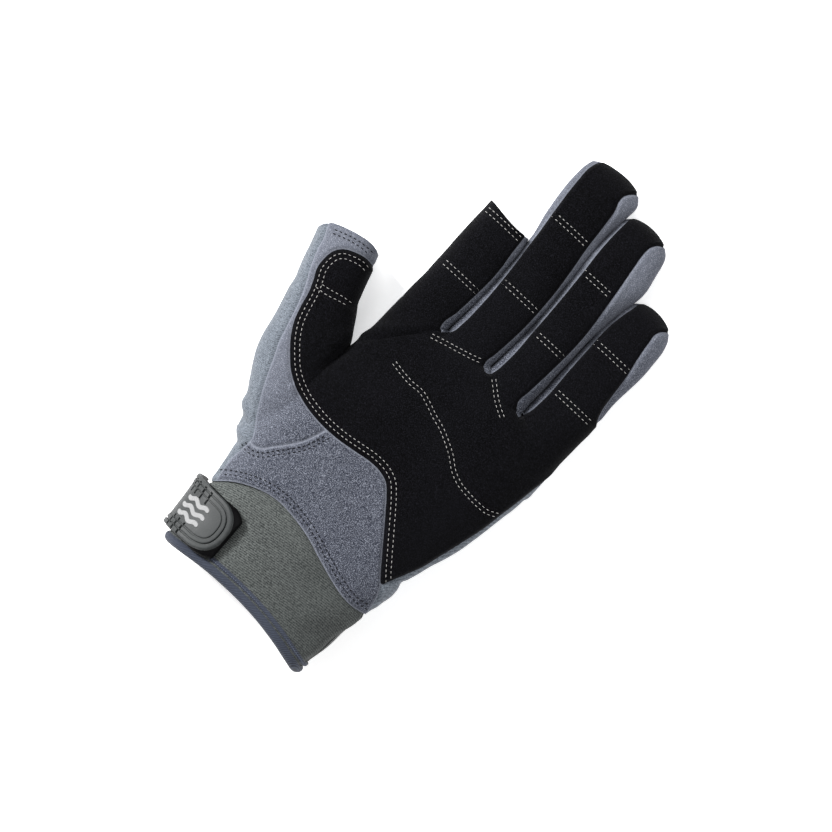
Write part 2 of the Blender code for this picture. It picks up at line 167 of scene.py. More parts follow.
def inside(polygon, co):
    """Signed distance in plan to a closed outline, positive inside it."""
    ring = np.vstack([polygon, polygon[:1]])
    a, b = ring[:-1], ring[1:]
    x, y = co[:, 0, None], co[:, 1, None]
    crosses = (a[:, 1] > y) != (b[:, 1] > y)
    with np.errstate(divide="ignore", invalid="ignore"):
        at = (b[:, 0] - a[:, 0]) * (y - a[:, 1]) / (b[:, 1] - a[:, 1]) + a[:, 0]
    odd = (crosses & (x < at)).sum(1) % 2 == 1
    return np.abs(line_distance(ring, co)) * np.where(odd, 1, -1)


def thumb_axes(co):
    """Distance across and along the thumb, from the crossing of its axis and its root plane."""
    dx, dy = co[:, 0] - THUMB_ROOT[0], co[:, 1] - THUMB_ROOT[1]
    return THUMB_COS * dx + THUMB_SIN * dy, THUMB_COS * dy - THUMB_SIN * dx


def thumb_v(data):
    return thumb_axes(data)[1]


def thumb_plan(u, v):
    """The same backwards: a place in plan from distances across and along the thumb."""
    return THUMB_ROOT[0] + THUMB_COS * u - THUMB_SIN * v, THUMB_ROOT[1] + THUMB_SIN * u + THUMB_COS * v


def grid_faces(rows, columns, closed=False):
    """The quads of a grid of points, row after row. closed joins each row's ends."""
    faces = []
    for i in range(rows - 1):
        for j in range(columns if closed else columns - 1):
            k = (j + 1) % columns
            a, b = i * columns, (i + 1) * columns
            faces.append((a + j, a + k, b + k, b + j))
    return faces


def placed(name, data):
    """A new object in the scene."""
    obj = bpy.data.objects.new(name, data)
    bpy.context.scene.collection.objects.link(obj)
    return obj


# ---------------------------------------------------------------- the hand form
def rounding(y, end, length, power):
    """The share of its full size that a tube keeps near a rounded end."""
    past = np.clip((y - (end - length)) / length, 0, 1)
    return np.maximum(1 - past**power, 1e-4) ** (1 / power)


def tube(stations, y, power, roll=0, cap=None):
    """A closed tube through sections at the places y. cap rounds its far end off."""
    left, right, height = smooth(stations, y).T
    across, upward = np.ones(len(y)), np.ones(len(y))
    if cap:
        end, plan_length, side_length = cap
        across = rounding(y, end, plan_length, CAP_POWER)
        upward = rounding(y, end, side_length, CAP_POWER)
    angle = np.linspace(0, 2 * math.pi, TUBE_SIDES, endpoint=False)
    c, s = np.cos(angle), np.sin(angle)
    u = np.sign(c) * abs(c) ** (2 / power)
    w = np.sign(s) * abs(s) ** (2 / power)
    x = u[None] * (((right - left) / 2 - SLIM) * across)[:, None]
    z = w[None] * ((height / 2 - SLIM) * upward)[:, None]
    turn = math.sin(math.radians(roll)) * ROLL_SHEAR
    x, z = x - z * turn, z + x * turn
    rows = np.stack([
        x + ((left + right) / 2)[:, None],
        np.repeat(y[:, None], TUBE_SIDES, 1),
        z + (height / 2)[:, None],
    ], axis=2)
    middle = rows.mean(1)
    points = np.vstack([rows.reshape(-1, 3), middle[:1], middle[-1:]])
    faces = grid_faces(len(y), TUBE_SIDES, closed=True)
    last = (len(y) - 1) * TUBE_SIDES
    for j in range(TUBE_SIDES):
        k = (j + 1) % TUBE_SIDES
        faces.append((len(points) - 2, k, j))
        faces.append((len(points) - 1, last + j, last + k))
    return points, faces


def tube_rows(start, end, round_length=0):
    """Places along a tube: even, then closer together over a rounded end."""
    body = np.linspace(start, end - round_length, TUBE_ROWS)
    if not round_length:
        return body
    return np.r_[body[:-1], end - round_length * (1 - np.sin(np.linspace(0, math.pi / 2, TIP_ROWS)))]


def palm_tube():
    """The palm, its far end let out to the webs between the fingers."""
    start, end = PALM[0][0], PALM[-1][0]
    rows = tube_rows(start, end, PALM_ROUND)
    points, faces = tube(PALM, rows, PALM_POWER, cap=(end, PALM_ROUND, PALM_ROUND))
    ends = straight_between(PALM_END, points[:, 0]) - end
    points[:, 1] += (ends - WEB_BACK) * np.clip((points[:, 1] - LET_OUT_Y) / (end - LET_OUT_Y), 0, 1)
    points[:, 2] -= PALM_DROP * (points[:, 2] < PALM_LOW)
    return points, faces


def finger_tube(name):
    """A finger, rounded at its tip or left long where it is cut off."""
    start = FINGERS[name][0][0]
    if name not in TIP_Y:
        return tube(FINGERS[name], tube_rows(start, FINGERS[name][-1][0]), DIGIT_POWER, FINGER_ROLL)
    end = TIP_Y[name] - SLIM + TIP_SHRINK
    return tube(FINGERS[name], tube_rows(start, end, TIP_SIDE), DIGIT_POWER, FINGER_ROLL,
                (end, TIP_PLAN, TIP_SIDE))


def thumb_tube():
    stations = [(v, u - w, u + w, h) for v, u, w, h in THUMB]
    points, faces = tube(stations, tube_rows(THUMB[0][0], THUMB_LONG), DIGIT_POWER)
    points[:, 0], points[:, 1] = thumb_plan(points[:, 0], points[:, 1])
    return points, faces


def hand_form():
    """One closed smooth mesh of the hand, as points and triangles."""
    points, faces = [], []
    for p, f in [palm_tube(), *map(finger_tube, FINGERS), thumb_tube()]:
        base = sum(len(q) for q in points)
        points.append(p)
        faces += [[base + i for i in face] for face in f]
    mesh = bpy.data.meshes.new("form")
    mesh.from_pydata(np.vstack(points).tolist(), [], faces)
    form = placed("form", mesh)
    remesh = form.modifiers.new("union", "REMESH")
    remesh.mode = "VOXEL"
    remesh.voxel_size = VOXEL
    relax = form.modifiers.new("relax", "SMOOTH")
    relax.factor = 0.5
    relax.iterations = round(RELAX / VOXEL)
    made = bpy.data.meshes.new_from_object(form.evaluated_get(bpy.context.evaluated_depsgraph_get()))
    bpy.data.objects.remove(form, do_unlink=True)
    made.calc_loop_triangles()
    co = np.empty(len(made.vertices) * 3, np.float32)
    made.vertices.foreach_get("co", co)
    tri = np.empty(len(made.loop_triangles) * 3, np.int32)
    made.loop_triangles.foreach_get("vertices", tri)
    bpy.data.meshes.remove(made)
    co, tri = co.reshape(-1, 3).astype(float), tri.reshape(-1, 3)
    co += normals_of(co, tri) * SLIM
    return co, tri


def normals_of(co, tri):
    """The unit normal at each point of a mesh of triangles."""
    face = np.cross(co[tri[:, 1]] - co[tri[:, 0]], co[tri[:, 2]] - co[tri[:, 0]])
    out = np.zeros_like(co)
    for k in range(3):
        np.add.at(out, tri[:, k], face)
    return out / np.maximum(np.linalg.norm(out, axis=1), 1e-9)[:, None]


# ---------------------------------------------------------------- cutting
def split(data, tri, field, keep_all=True):
    """Cuts triangles along the field's zero line; with keep_all False, drops the negative side."""
    field = np.where(np.abs(field) < 1e-3, 1e-3, field)
    up = field > 0
    count = up[tri].sum(1)
    whole = tri[count == 3] if not keep_all else tri[(count == 3) | (count == 0)]
    cut = tri[(count == 1) | (count == 2)]
    if not len(cut):
        return data, whole
    lone_up = up[cut].sum(1) == 1
    lone = np.argmax(up[cut] == lone_up[:, None], axis=1)
    rows = np.arange(len(cut))
    a, b, c = cut[rows, lone], cut[rows, (lone + 1) % 3], cut[rows, (lone + 2) % 3]
    pairs = np.sort(np.vstack([np.column_stack([a, b]), np.column_stack([a, c])]), axis=1)
    edges, which = np.unique(pairs, axis=0, return_inverse=True)
    which = which.reshape(-1)
    f0, f1 = field[edges[:, 0]], field[edges[:, 1]]
    t = np.clip(f0 / (f0 - f1), 0.04, 0.96)[:, None]
    fresh = data[edges[:, 0]] * (1 - t) + data[edges[:, 1]] * t
    p, q = len(data) + which[: len(cut)], len(data) + which[len(cut):]
    tips = np.column_stack([a, p, q])
    rest = np.vstack([np.column_stack([p, b, c]), np.column_stack([p, c, q])])
    if keep_all:
        parts = [whole, tips, rest]
    else:
        parts = [whole, tips[lone_up], rest[np.r_[~lone_up, ~lone_up]]]
    return np.vstack([data, fresh]), np.vstack(parts)


def compact(data, tri):
    """Drops points that no triangle uses."""
    used, tri = np.unique(tri, return_inverse=True)
    return data[used], tri.reshape(-1, 3)


def rim_of(tri):
    """The open edges of a surface, each in the direction of its triangle."""
    edges = np.vstack([tri[:, [0, 1]], tri[:, [1, 2]], tri[:, [2, 0]]])
    _, first, uses = np.unique(np.sort(edges, axis=1), axis=0, return_index=True, return_counts=True)
    return edges[first[uses == 1]]


def cut_out(region, fields):
    """The part of a region where every field is positive. Each field is a function of the points."""
    data, tri = region
    for field in fields:
        if not len(tri):
            break
        data, tri = compact(data, tri)
        data, tri = split(data, tri, field(data), keep_all=False)
    return compact(data, tri)


# ---------------------------------------------------------------- seams, in plan
# the border of the black suede, from the thumb's hem side, down and across the heel of the hand
BORDER = curve_through([
    (-42, 30), (-51, 31), (-55, 31.3), (-60, 30), (-64, 28), (-66.3, 25), (-67.2, 20), (-66.6, 15.5),
    (-64.6, 11.5), (-62.7, 7), (-61.2, 1), (-59.2, -5), (-56, -10.3), (-52, -15), (-47, -19.8),
    (-42, -22.9), (-37, -24.9), (-30, -26.4), (-22, -27), (-15, -26.7), (-8, -25.7), (0, -24.6),
    (5, -24.9), (9, -26.4), (12, -29.3), (16, -34), (20, -39), (24, -44), (28, -49), (31, -52.7),
    (34.4, -56.4),
])
# the outer seam of the little finger's side, from the cuff to where the black wraps over
OUTSEAM = curve_through([
    (38.6, -75), (38.2, -67), (36.8, -61), (34.8, -56.4), (36.8, -51.5), (38.9, -46.8), (41.2, -41.8),
    (43.7, -33), (46.4, -23), (48.5, -15), (50.2, -5), (51.6, 3), (53.4, 13), (57, 26), (60, 34),
])
# the ridge between the grey front and the stretch cloth on the thumb's side
RIDGE = curve_through([
    (-38.8, -76), (-40.2, -68), (-41.2, -60), (-40.4, -54), (-40.2, -49.8), (-45, -42), (-49, -35),
    (-52, -29), (-55, -22), (-58, -15), (-60.2, -8), (-62, -2), (-64, 4), (-66.6, 9.5), (-69, 14),
    (-71.5, 20), (-73.2, 26), (-75.5, 31), (-78, 37),
])
# between the thenar and the heel pieces
THENAR = curve_through([
    (-47, -47), (-42, -49.6), (-38, -50.8), (-35, -49.6), (-32, -46), (-28, -41), (-25, -36.8),
    (-22.8, -31.5), (-21, -26), (-19, -20),
])
# the suede's and the back's edge over the cuff
CUFF_EDGE = curve_through([
    (-52, -78), (-44, -74.5), (-40, -71), (-35, -66.6), (-30, -63.6), (-25, -61.4), (-20, -60), (-15, -59.5),
    (-10, -59.8), (0, -61.5), (10, -64.8), (20, -68), (25, -69.3), (31, -70), (38, -69.2), (46, -68.4),
])
# between the two black pieces of the palm
CENTRE = curve_through([
    (-60, 14), (-40, 13), (-27, 11), (-20, 9.3), (-15, 8.4), (-10, 7.9), (-5, 8.2), (0, 6.8), (5, 4.8),
    (10, 3.3), (15, 1), (20, -1.8), (25, -5.6), (30, -7.7), (35, -8.4), (40, -8.7), (45, -8.3),
    (49, -6.5), (56, -2),
])
BLACK_CORNER_Y = -56  # where the black's border runs into the outer seam
BLACK = np.vstack([
    BORDER, OUTSEAM[np.argmin(abs(OUTSEAM[:, 1] - BLACK_CORNER_Y)):], [(60, 140), (-30, 140), (-30, 60)],
])

# where the black front of each finger ends, over y
BLACK_LEFT = {
    "middle": [(30.6, -14.4), (33.5, -12.1), (38, -11.3), (48, -11), (62, -11.6), (70, -12.3),
               (78, -13.2), (85, -13.9), (93, -14.9), (100, -15.7), (110, -16.5), (116, -16.6),
               (120, -15.6), (124, -13.8)],
    "ring": [(29, 9), (34, 10.6), (40, 11.2), (55, 10.8), (70, 10.2), (85, 9.2), (97, 8.2), (105, 8.1),
             (111, 8.4), (118, 9)],
    "pinky": [(26, 29), (31, 30.8), (38, 31.6), (55, 31.2), (65, 31), (75, 30.9), (82, 31.7),
              (88, 33), (92, 33.8), (100, 34.2)],
}
BLACK_RIGHT = {
    "index": [(29, -14.8), (32, -16.4), (40, -15.5), (50, -14.8), (60, -14.5), (65, -14.8),
              (70, -15.5), (80, -16.4)],
    "middle": [(30.6, 7.4), (33, 5.8), (38, 6.3), (45, 7), (55, 7.6), (62, 7.5), (72, 7), (82, 5.8),
               (93, 4.2), (103, 3.2), (111, 2), (114, 0.9), (117, 0.9), (120, 2.6), (123, 6)],
    "ring": [(27, 27.5), (31, 25.2), (36, 25.6), (48, 26.5), (60, 27), (70, 26.6), (80, 25.2),
             (90, 23.8), (100, 22.3), (106, 21.6), (110, 22.1), (113, 24.4), (115, 28)],
    "pinky": [(25, 60), (43, 57), (46, 53.4), (50, 51.5), (56, 50.5), (66, 49.3), (75, 47.5),
              (82, 46.5), (87, 46.4), (90, 48.6), (92, 52)],
}
WEB_LINE = [(-36, 29.8), (-15.5, 29.8), (-12.5, 31.3), (6.5, 31.3), (9.5, 28.4), (26.6, 28.4),
            (30, 25.2), (54, 25.2)]
FRONT_LOW, BACK_SEAM = 10.5, 7.5  # heights of the front's lower edge and the back's upper one
FINGER_LOW, FINGER_BACK = 8.5, 4.6  # the same on the fingers
ROOT_LENGTH, ROOT_X = 16, -30  # the side seams sink over this length before the webs, right of this x
THUMB_CROTCH_X = -37.3


def lowered(data, on_hand, on_fingers):
    """A seam's height on the sides: the hand's, sinking to the fingers' towards their roots."""
    near = np.clip((data[:, 1] - web_y(data) + ROOT_LENGTH) / ROOT_LENGTH, 0, 1)
    near *= np.clip((data[:, 0] - ROOT_X) / 10, 0, 1)
    return on_hand + (on_fingers - on_hand) * near**2 * (3 - 2 * near)


def black_area(data):
    """Positive inside the palm's black suede and that of the thumb."""
    return np.minimum(inside(BLACK, data), data[:, 2] - lowered(data, FRONT_LOW, FINGER_LOW))


def left_of_ridge(data):
    """Positive on the stretch cloth's side of the ridge."""
    return line_distance(RIDGE, data)


def web_y(data):
    """The y at which the hand ends and the fingers begin."""
    return straight_between(WEB_LINE, data[:, 0])


def beyond_root(data):
    """Positive on the thumb, past its root plane."""
    return np.minimum(thumb_axes(data)[1], THUMB_CROTCH_X - data[:, 0])


def grey_front(data):
    """The suede between the ridge and the black, on the thumb's side."""
    return np.minimum(-left_of_ridge(data), data[:, 2] - FRONT_LOW)


def outer_side(data):
    """Positive outside the little finger's outer seam."""
    return np.maximum(-line_distance(OUTSEAM, data), FRONT_LOW - data[:, 2])


def cuff_side(data):
    """Positive on the hand's side of the cuff's edge."""
    return line_distance(CUFF_EDGE, data)


def thenar_side(data):
    """Positive on the thumb's side of the seam below the thumb."""
    return line_distance(THENAR, data)


def centre_side(data):
    """Positive on the fingers' side of the seam across the palm."""
    return line_distance(CENTRE, data)


def high(data):
    """Positive above the seam between the back and the pieces at its sides."""
    return data[:, 2] - lowered(data, BACK_SEAM, FINGER_BACK)


def opposite(field):
    """The field with its signs turned round."""
    return lambda data: -field(data)


def past(axis, place):
    """Positive beyond a place along an axis."""
    return lambda data: data[:, axis] - place


def grown(field, amount):
    """The same area, let out by amount past its edge."""
    return lambda data: field(data) + amount


def gap_between(first, second):
    """Positive past the middle of the gap between two neighbouring fingers."""
    def field(data):
        right = smooth(FINGERS[first], data[:, 1])[:, 1]
        left = smooth(FINGERS[second], data[:, 1])[:, 0]
        return data[:, 0] - (right + left) / 2
    return field


# ---------------------------------------------------------------- pieces
def blender_mesh(name, points, faces):
    """A smooth-shaded object from points in millimetres."""
    mesh = bpy.data.meshes.new(name)
    mesh.from_pydata((np.asarray(points) * MM).tolist(), [], [list(map(int, f)) for f in faces])
    mesh.shade_smooth()
    mesh.set_sharp_from_angle(angle=math.radians(48))
    return placed(name, mesh)


def settle(obj, finish, body, crossing=None, stands_for=()):
    """Gives a piece its finish and hides the CAD solids that it stands for. A piece is attached to its body,
    or, when it has a crossing, only baked in place.
    """
    obj.data.materials.append(material_of(finish))
    if crossing:
        other, start, end = crossing
        tuple(v * MM for v in start)
        tuple(v * MM for v in end)
        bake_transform(obj)
    else:
        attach(obj, body)
    if stands_for:
        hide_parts(*stands_for)


TURN_LEVELS = (0.3, 0.7, 1.3, 2.2)  # distances from a seam at which a panel gets rows of points
TURN_DEPTH, TURN_WIDE = 0.55, 0.75
SWELL, SWELL_AT = 0.2, 1.5
# how far each finish stands over the form, and its thickness
LAYERS = {"grey_suede": (0, SUEDE), "black_suede": (BLACK_LIFT, SUEDE), "stretch": (STRETCH_LIFT, STRETCH)}
OUTER_SKINS = []  # the outer face of every panel, for the stitches to lie on


def turned(dist):
    """How far a panel drops towards a sewn edge, after swelling a little before it."""
    swell = SWELL * np.exp(-(((dist - SWELL_AT) / TURN_WIDE) ** 2))
    return swell - TURN_DEPTH * np.exp(-((np.maximum(dist, 0) / TURN_WIDE) ** 1.6))


def nearest(fields, data):
    """The distance from each point to the nearest of several seams."""
    return np.min([field(data) for field in fields], axis=0)


def shell(name, region, seams, lift, thickness):
    """A closed panel over a region of the form, rounded down along its sewn edges."""
    data, tri = region
    for level in TURN_LEVELS:
        data, tri = split(data, tri, nearest(seams, data) - level)
    data, tri = compact(data, tri)
    near = nearest(seams, data)
    normal = data[:, 3:6] / np.linalg.norm(data[:, 3:6], axis=1)[:, None]
    outer = data[:, :3] + normal * (lift + turned(near))[:, None]
    inner = data[:, :3] + normal * (lift - thickness)
    outer[:, 2] = np.maximum(outer[:, 2], FLOOR_CLEAR)
    inner[:, 2] = np.maximum(inner[:, 2], FLOOR_CLEAR + 0.6 * thickness)
    count, rim = len(outer), rim_of(tri)
    walls = np.column_stack([rim[:, 1], rim[:, 0], rim[:, 0] + count, rim[:, 1] + count])
    faces = tri.tolist() + (tri[:, ::-1] + count).tolist() + walls.tolist()
    OUTER_SKINS.append((outer, tri))
    obj = blender_mesh(name, np.vstack([outer, inner]), faces)
    obj.data.attributes.new("seam", "FLOAT", "POINT").data.foreach_set("value", np.r_[near, near])
    return obj


def panel(name, region, finish, body, seams, cuts=(), crossing=None, stands_for=()):
    """Cuts one panel out of the form. cuts are flush edges and seams are sewn, turned ones."""
    part = cut_out(region, [*cuts, *seams])
    if not len(part[1]):
        raise ValueError(f"{name} is empty")
    settle(shell(name, part, seams, *LAYERS[finish]), finish, body, crossing, stands_for)


# ---------------------------------------------------------------- the sewn hand
SWELLS = [(19, 0.6, 3.1), (8.5, 0.22, 11.7)]  # size, height, and where in the noise each is taken


def relief(data):
    """Soft swells and hollows, as a height along the normal."""
    out = np.zeros(len(data))
    for size, height, seed in SWELLS:
        for i, point in enumerate(data[:, :3]):
            out[i] += height * noise.noise(Vector(point) / size + Vector((seed, seed, seed)))
    return out


def pinched(data, lines):
    """A shallow groove along each line of stitching."""
    out = np.zeros(len(data))
    for line in lines:
        near = np.abs(line_distance(line, data))
        out -= SEAM_PINCH * np.exp(-((near / SEAM_WIDE) ** 2))
    return out * np.clip((data[:, 5] + 0.1) / 0.5, 0, 1)


def straight(x0, x1, y):
    """A line across a finger."""
    return np.column_stack([np.linspace(x0, x1, 14), np.full(14, float(y))])


# the double rows of stitching across the fingers: middle y, left x, right x
FINGER_ROWS = [(51, -34.8, -15.2), (77.2, -34.8, -16.4), (61, -11.2, 7.2), (93.3, -14.8, 4.0),
               (55, 10.8, 26.6), (85, 9, 24.4), (43.8, 31.2, 52.6), (68.3, 30.8, 48.6)]
FINGER_LINES = [straight(x0, x1, y + shift) for y, x0, x1 in FINGER_ROWS for shift in (-1, 1)]
# gathers at the two sides: x, y, half width, height, the way they run in degrees
GATHERS = [(-48, -48.8, 2.9, 2.7, -20), (-46, -53.8, 1.4, -0.8, -20), (-50.4, -44.4, 1.2, -1.1, -25),
           (-53, -41.2, 2.2, 1.2, -30), (-55, -37.4, 1.3, -0.5, -30), (40, -57.5, 3.6, 0.45, 5),
           (41, -50.8, 1.6, -0.9, 15)]
GATHER_LENGTH = 6.5
SEAM_PINCH, SEAM_WIDE = 0.28, 1.3  # depth and half width of the groove along a line of stitches
THUMB_PINCH, THUMB_WIDE = 0.3, 2.5
UPPER_PALM = [
    curve_through([(-17, 26.5), (-10, 28.5), (-5, 29.8), (0, 31.2), (5, 33)]),
    curve_through([(12, 31), (15, 28.5), (18, 26), (22, 23.5), (25, 22)]),
]
THUMB_CROSS = [
    curve_through([(-61, 12.3), (-57, 13), (-52, 14.3), (-47, 15)]),
    curve_through([(-62, 10), (-57, 10.5), (-52, 12), (-48, 13)]),
]
# creases in the palm: points in plan, the groove's depth and half width, the height of the swell on its left
CREASES = [
    ([(-37.5, 3.2), (-33, 9), (-27.5, 16), (-22, 22.5), (-17, 27)], 0.7, 0.8, 1.1),
    ([(-36.5, 2.5), (-32, 4.5), (-26, 6), (-20.5, 9)], 0.35, 0.9, 0.35),
    ([(-38, 2), (-37.5, -5), (-40, -14)], 0.75, 2.2, 0.3),
    ([(-35, -2), (-27, -9), (-22, -18)], 0.3, 2.6, 0.2),
    ([(-49, 4), (-45, -5), (-44, -16)], 0.3, 2.4, 0.2),
    ([(-48, -38), (-40, -36), (-31, -39)], 0.35, 2.2, 0.25),
    ([(-57, -22), (-50, -29), (-44, -38)], 0.35, 2.2, 0.25),
    ([(4, 15), (16, 8), (30, 6)], 0.3, 3.0, 0.3),
    ([(14, -12), (28, -18), (42, -19)], 0.3, 3.2, 0.3),
    ([(31, 20), (42, 16), (52, 17)], 0.3, 2.4, 0.2),
    ([(-20, -36), (-4, -34), (12, -42)], 0.22, 3.2, 0.2),
    ([(-4, -50), (10, -48), (26, -58)], 0.25, 2.8, 0.2),
]


def creased(data):
    """The palm's folds: a groove along each line, shallow at its ends, with a swell beside it."""
    out = np.zeros(len(data))
    for points, depth, wide, swell in CREASES:
        line = curve_through(points)
        far = line_distance(line, data)
        ends = [np.linalg.norm(data[:, :2] - line[k], axis=1) for k in (0, -1)]
        hold = np.clip(np.minimum(*ends) / 6, 0.25, 1)
        out -= hold * depth * np.exp(-((far / wide) ** 2))
        out += hold * swell * np.exp(-(((far - 2.6 * wide - 0.8) / (1.6 * wide + 1.2)) ** 2))
    return out * np.clip(data[:, 5] / 0.4, 0, 1)


def gathers(data):
    """Slack rolls of the stretch cloth at the wrist's two sides, and the hollows between them."""
    out = np.zeros(len(data))
    for x, y, wide, high, turn in GATHERS:
        c, s = math.cos(math.radians(turn)), math.sin(math.radians(turn))
        dx, dy = data[:, 0] - x, data[:, 1] - y
        along, across = c * dx + s * dy, c * dy - s * dx
        out += high * np.exp(-((along / GATHER_LENGTH) ** 2) - (across / wide) ** 2)
    return out * ((left_of_ridge(data) > -2) | (data[:, 0] > 30))


def make_form():
    """The hand form with its creases, one row a point: place, then normal."""
    co, tri = hand_form()
    data = np.hstack([co, normals_of(co, tri)])
    sewn = FINGER_LINES + UPPER_PALM + [CENTRE, offset_line(CUFF_EDGE, 3.1), offset_line(THENAR, -2.5)]
    height = relief(data) + pinched(data, sewn) + creased(data)
    v = thumb_v(data)
    on_thumb = (data[:, 0] < THUMB_CROTCH_X) & (v > -6)
    height -= np.where(on_thumb, THUMB_PINCH * np.exp(-(((v - THUMB_FLEX) / THUMB_WIDE) ** 2)), 0)
    height += gathers(data)
    height *= np.clip((data[:, 2] - 0.5) / 6, 0.15, 1)
    co = co + data[:, 3:6] * height[:, None]
    co[:, 2] = np.maximum(co[:, 2], FLOOR_CLEAR - STRETCH_LIFT)
    return np.hstack([co, normals_of(co, tri)]), tri


FORM = make_form()

OVERLAP = 0.2  # how far the cloth beside a black panel is left to reach under its edge
SIDES_X = 10  # between the pieces of the hand's two sides
WRIST_Y, CROTCH_X, CROTCH_Y = -51.5, -44, 2  # where the pieces on the thumb's side end
WEB_START_Y = 22


def crotch_corner(data):
    """Positive in the corner between the thumb and the index finger."""
    return np.minimum(data[:, 0] - CROTCH_X, data[:, 1] - CROTCH_Y)


def make_hand():
    """The hand's own panels: no fingers, no thumb, down to just inside the cuff."""
    hand = cut_out(FORM, [lambda d: web_y(d) - d[:, 1], opposite(beyond_root), cuff_side])
    front = cut_out(hand, [past(Z, FRONT_LOW - 1)])
    panel("web_suede", cut_out(front, [past(Y, WEB_START_Y)]), "grey_suede", "hand", [all_notches])

    not_black, not_grey = opposite(black_area), opposite(grey_front)
    grey = cut_out(front, [grown(not_black, OVERLAP)])
    panel("heel_suede", grey, "grey_suede", "hand",
          [not_black, opposite(thenar_side), grey_front, opposite(outer_side), cuff_side],
          stands_for=["heel_panel"])
    panel("thenar_suede", grey, "grey_suede", "hand", [not_black, thenar_side, grey_front],
          cuts=[opposite(past(X, 0))], stands_for=["thenar_panel"])
    black = cut_out(front, [grown(black_area, OVERLAP)])
    panel("palm_suede", black, "black_suede", "hand", [black_area], cuts=[opposite(centre_side)],
          stands_for=["palm_panel"])
    panel("overlay_suede", black, "black_suede", "hand", [black_area],
          cuts=[centre_side, opposite(all_notches)], stands_for=["palm_overlay"])

    sides = cut_out(hand, [not_black, high])
    outer = cut_out(sides, [past(X, SIDES_X)])
    inner = cut_out(sides, [opposite(past(X, SIDES_X))])
    panel("outseam_stretch", outer, "stretch", "hand", [outer_side, not_black, cuff_side],
          stands_for=["outseam_gusset"])
    panel("thumb_side_stretch", inner, "stretch", "hand", [not_grey, not_black],
          cuts=[past(Y, WRIST_Y), opposite(crotch_corner)], stands_for=["thumb_side_gusset"])
    panel("wrist_stretch", inner, "stretch", "hand", [not_grey, cuff_side],
          cuts=[opposite(past(Y, WRIST_Y))], stands_for=["wrist_gusset"])
    panel("crotch_stretch", inner, "stretch", "hand", [not_grey, not_black], cuts=[crotch_corner],
          stands_for=["crotch_gusset"])
    panel("back_stretch", hand, "stretch", "hand", [cuff_side], cuts=[opposite(high)],
          stands_for=["back_panel"])


# ---------------------------------------------------------------- the digits
NOTCH_FOOT = {"index": 29.5, "middle": 31.0, "ring": 26.2, "pinky": 20}  # the lowest points between fingers
NOTCH_ROUND, NOTCH_RISE = 2.0, 6  # from a notch's foot to its parallel part, and to the finger's own edges
ZONE_ENDS = {"index": [40.5], "middle": [46, 77], "ring": [42, 70], "pinky": [34.5, 56]}
BEND, THUMB_BEND = 7, 5  # half the length of a digit that bends at a flex line
ROOT_BEND_START, ROOT_BEND = 1.5, 12  # where a finger's root starts to bend, past its web, and how long it is
THUMB_SPLIT = 7  # where the thumb's two zones meet, from its root
NEIGHBOURS = {
    "index": (None, "middle"), "middle": ("index", "ring"),
    "ring": ("middle", "pinky"), "pinky": ("ring", None),
}


def all_crossings():
    """For each zone of the hand, the body it rides on, and the one that it bends over to."""
    made = {"hand": ("hand", None)}
    for name, flexes in FLEX_Y.items():
        segments = ("base", "middle", "tip")[: len(flexes) + 1]
        start = WEB_Y[name] + ROOT_BEND_START
        end = min(start + ROOT_BEND, ZONE_ENDS[name][0])
        made[f"{name}_base"] = ("hand", (f"{name}_base", (0, start, 0), (0, end, 0)))
        for near, far, flex in zip(segments, segments[1:], flexes):
            bend = (f"{name}_{far}", (0, flex - BEND, 0), (0, flex + BEND, 0))
            made[f"{name}_{far}"] = (f"{name}_{near}", bend)
    spans = {"thumb_base": ("hand", 0, THUMB_SPLIT),
             "thumb_tip": ("thumb_base", THUMB_FLEX - THUMB_BEND, THUMB_FLEX + THUMB_BEND)}
    for zone, (first, v0, v1) in spans.items():
        made[zone] = (first, (zone, (*thumb_plan(0, v0), 0), (*thumb_plan(0, v1), 0)))
    return made


INDEX_HEM = curve_through([(-40, 82.8), (-35, 81.2), (-30, 80.2), (-25, 79.5), (-20, 79.3), (-14, 80),
                           (-8, 81.5)])


def finger_zone(name):
    """A finger's part of the form, up to the middle of the gaps beside it."""
    before, after = NEIGHBOURS[name]
    fields = [lambda d: d[:, 1] - web_y(d)]
    fields.append(gap_between(before, name) if before else past(X, THUMB_CROTCH_X))
    if after:
        fields.append(opposite(gap_between(name, after)))
    if name == "index":
        fields.append(lambda d: -line_distance(INDEX_HEM, d))
    return cut_out(FORM, fields)


def notch(before, after):
    """Positive inside the hairpin of grey between two fingers, where the black stops."""
    top_y = min(BLACK_RIGHT[before][-1][0], BLACK_LEFT[after][-1][0])
    foot_y = NOTCH_FOOT[before] + NOTCH_ROUND

    def field(data):
        y = np.clip(data[:, 1], foot_y, top_y)
        right = smooth(BLACK_RIGHT[before], y)[:, 0]
        left = smooth(BLACK_LEFT[after], y)[:, 0]
        half, middle = (left - right) / 2, (left + right) / 2
        below = np.minimum(data[:, 1] - foot_y, 0)
        return half - np.hypot(data[:, 0] - middle, below)
    return field


def all_notches(data):
    return np.max([notch(name, pair[1])(data) for name, pair in NEIGHBOURS.items() if pair[1]], axis=0)


def finger_front(name):
    """How far inside the black front a point is, over the finger's two edges and its sides."""
    def field(data):
        x, y, height = data[:, 0], data[:, 1], data[:, 2] - FINGER_LOW
        bound = height
        if name in BLACK_LEFT:
            bound = np.minimum(bound, x - smooth(BLACK_LEFT[name], y)[:, 0])
        if name in BLACK_RIGHT:
            bound = np.minimum(bound, smooth(BLACK_RIGHT[name], y)[:, 0] - x)
        return np.where(y > NOTCH_FOOT[name] + NOTCH_RISE, bound, np.minimum(-all_notches(data), height))
    return field


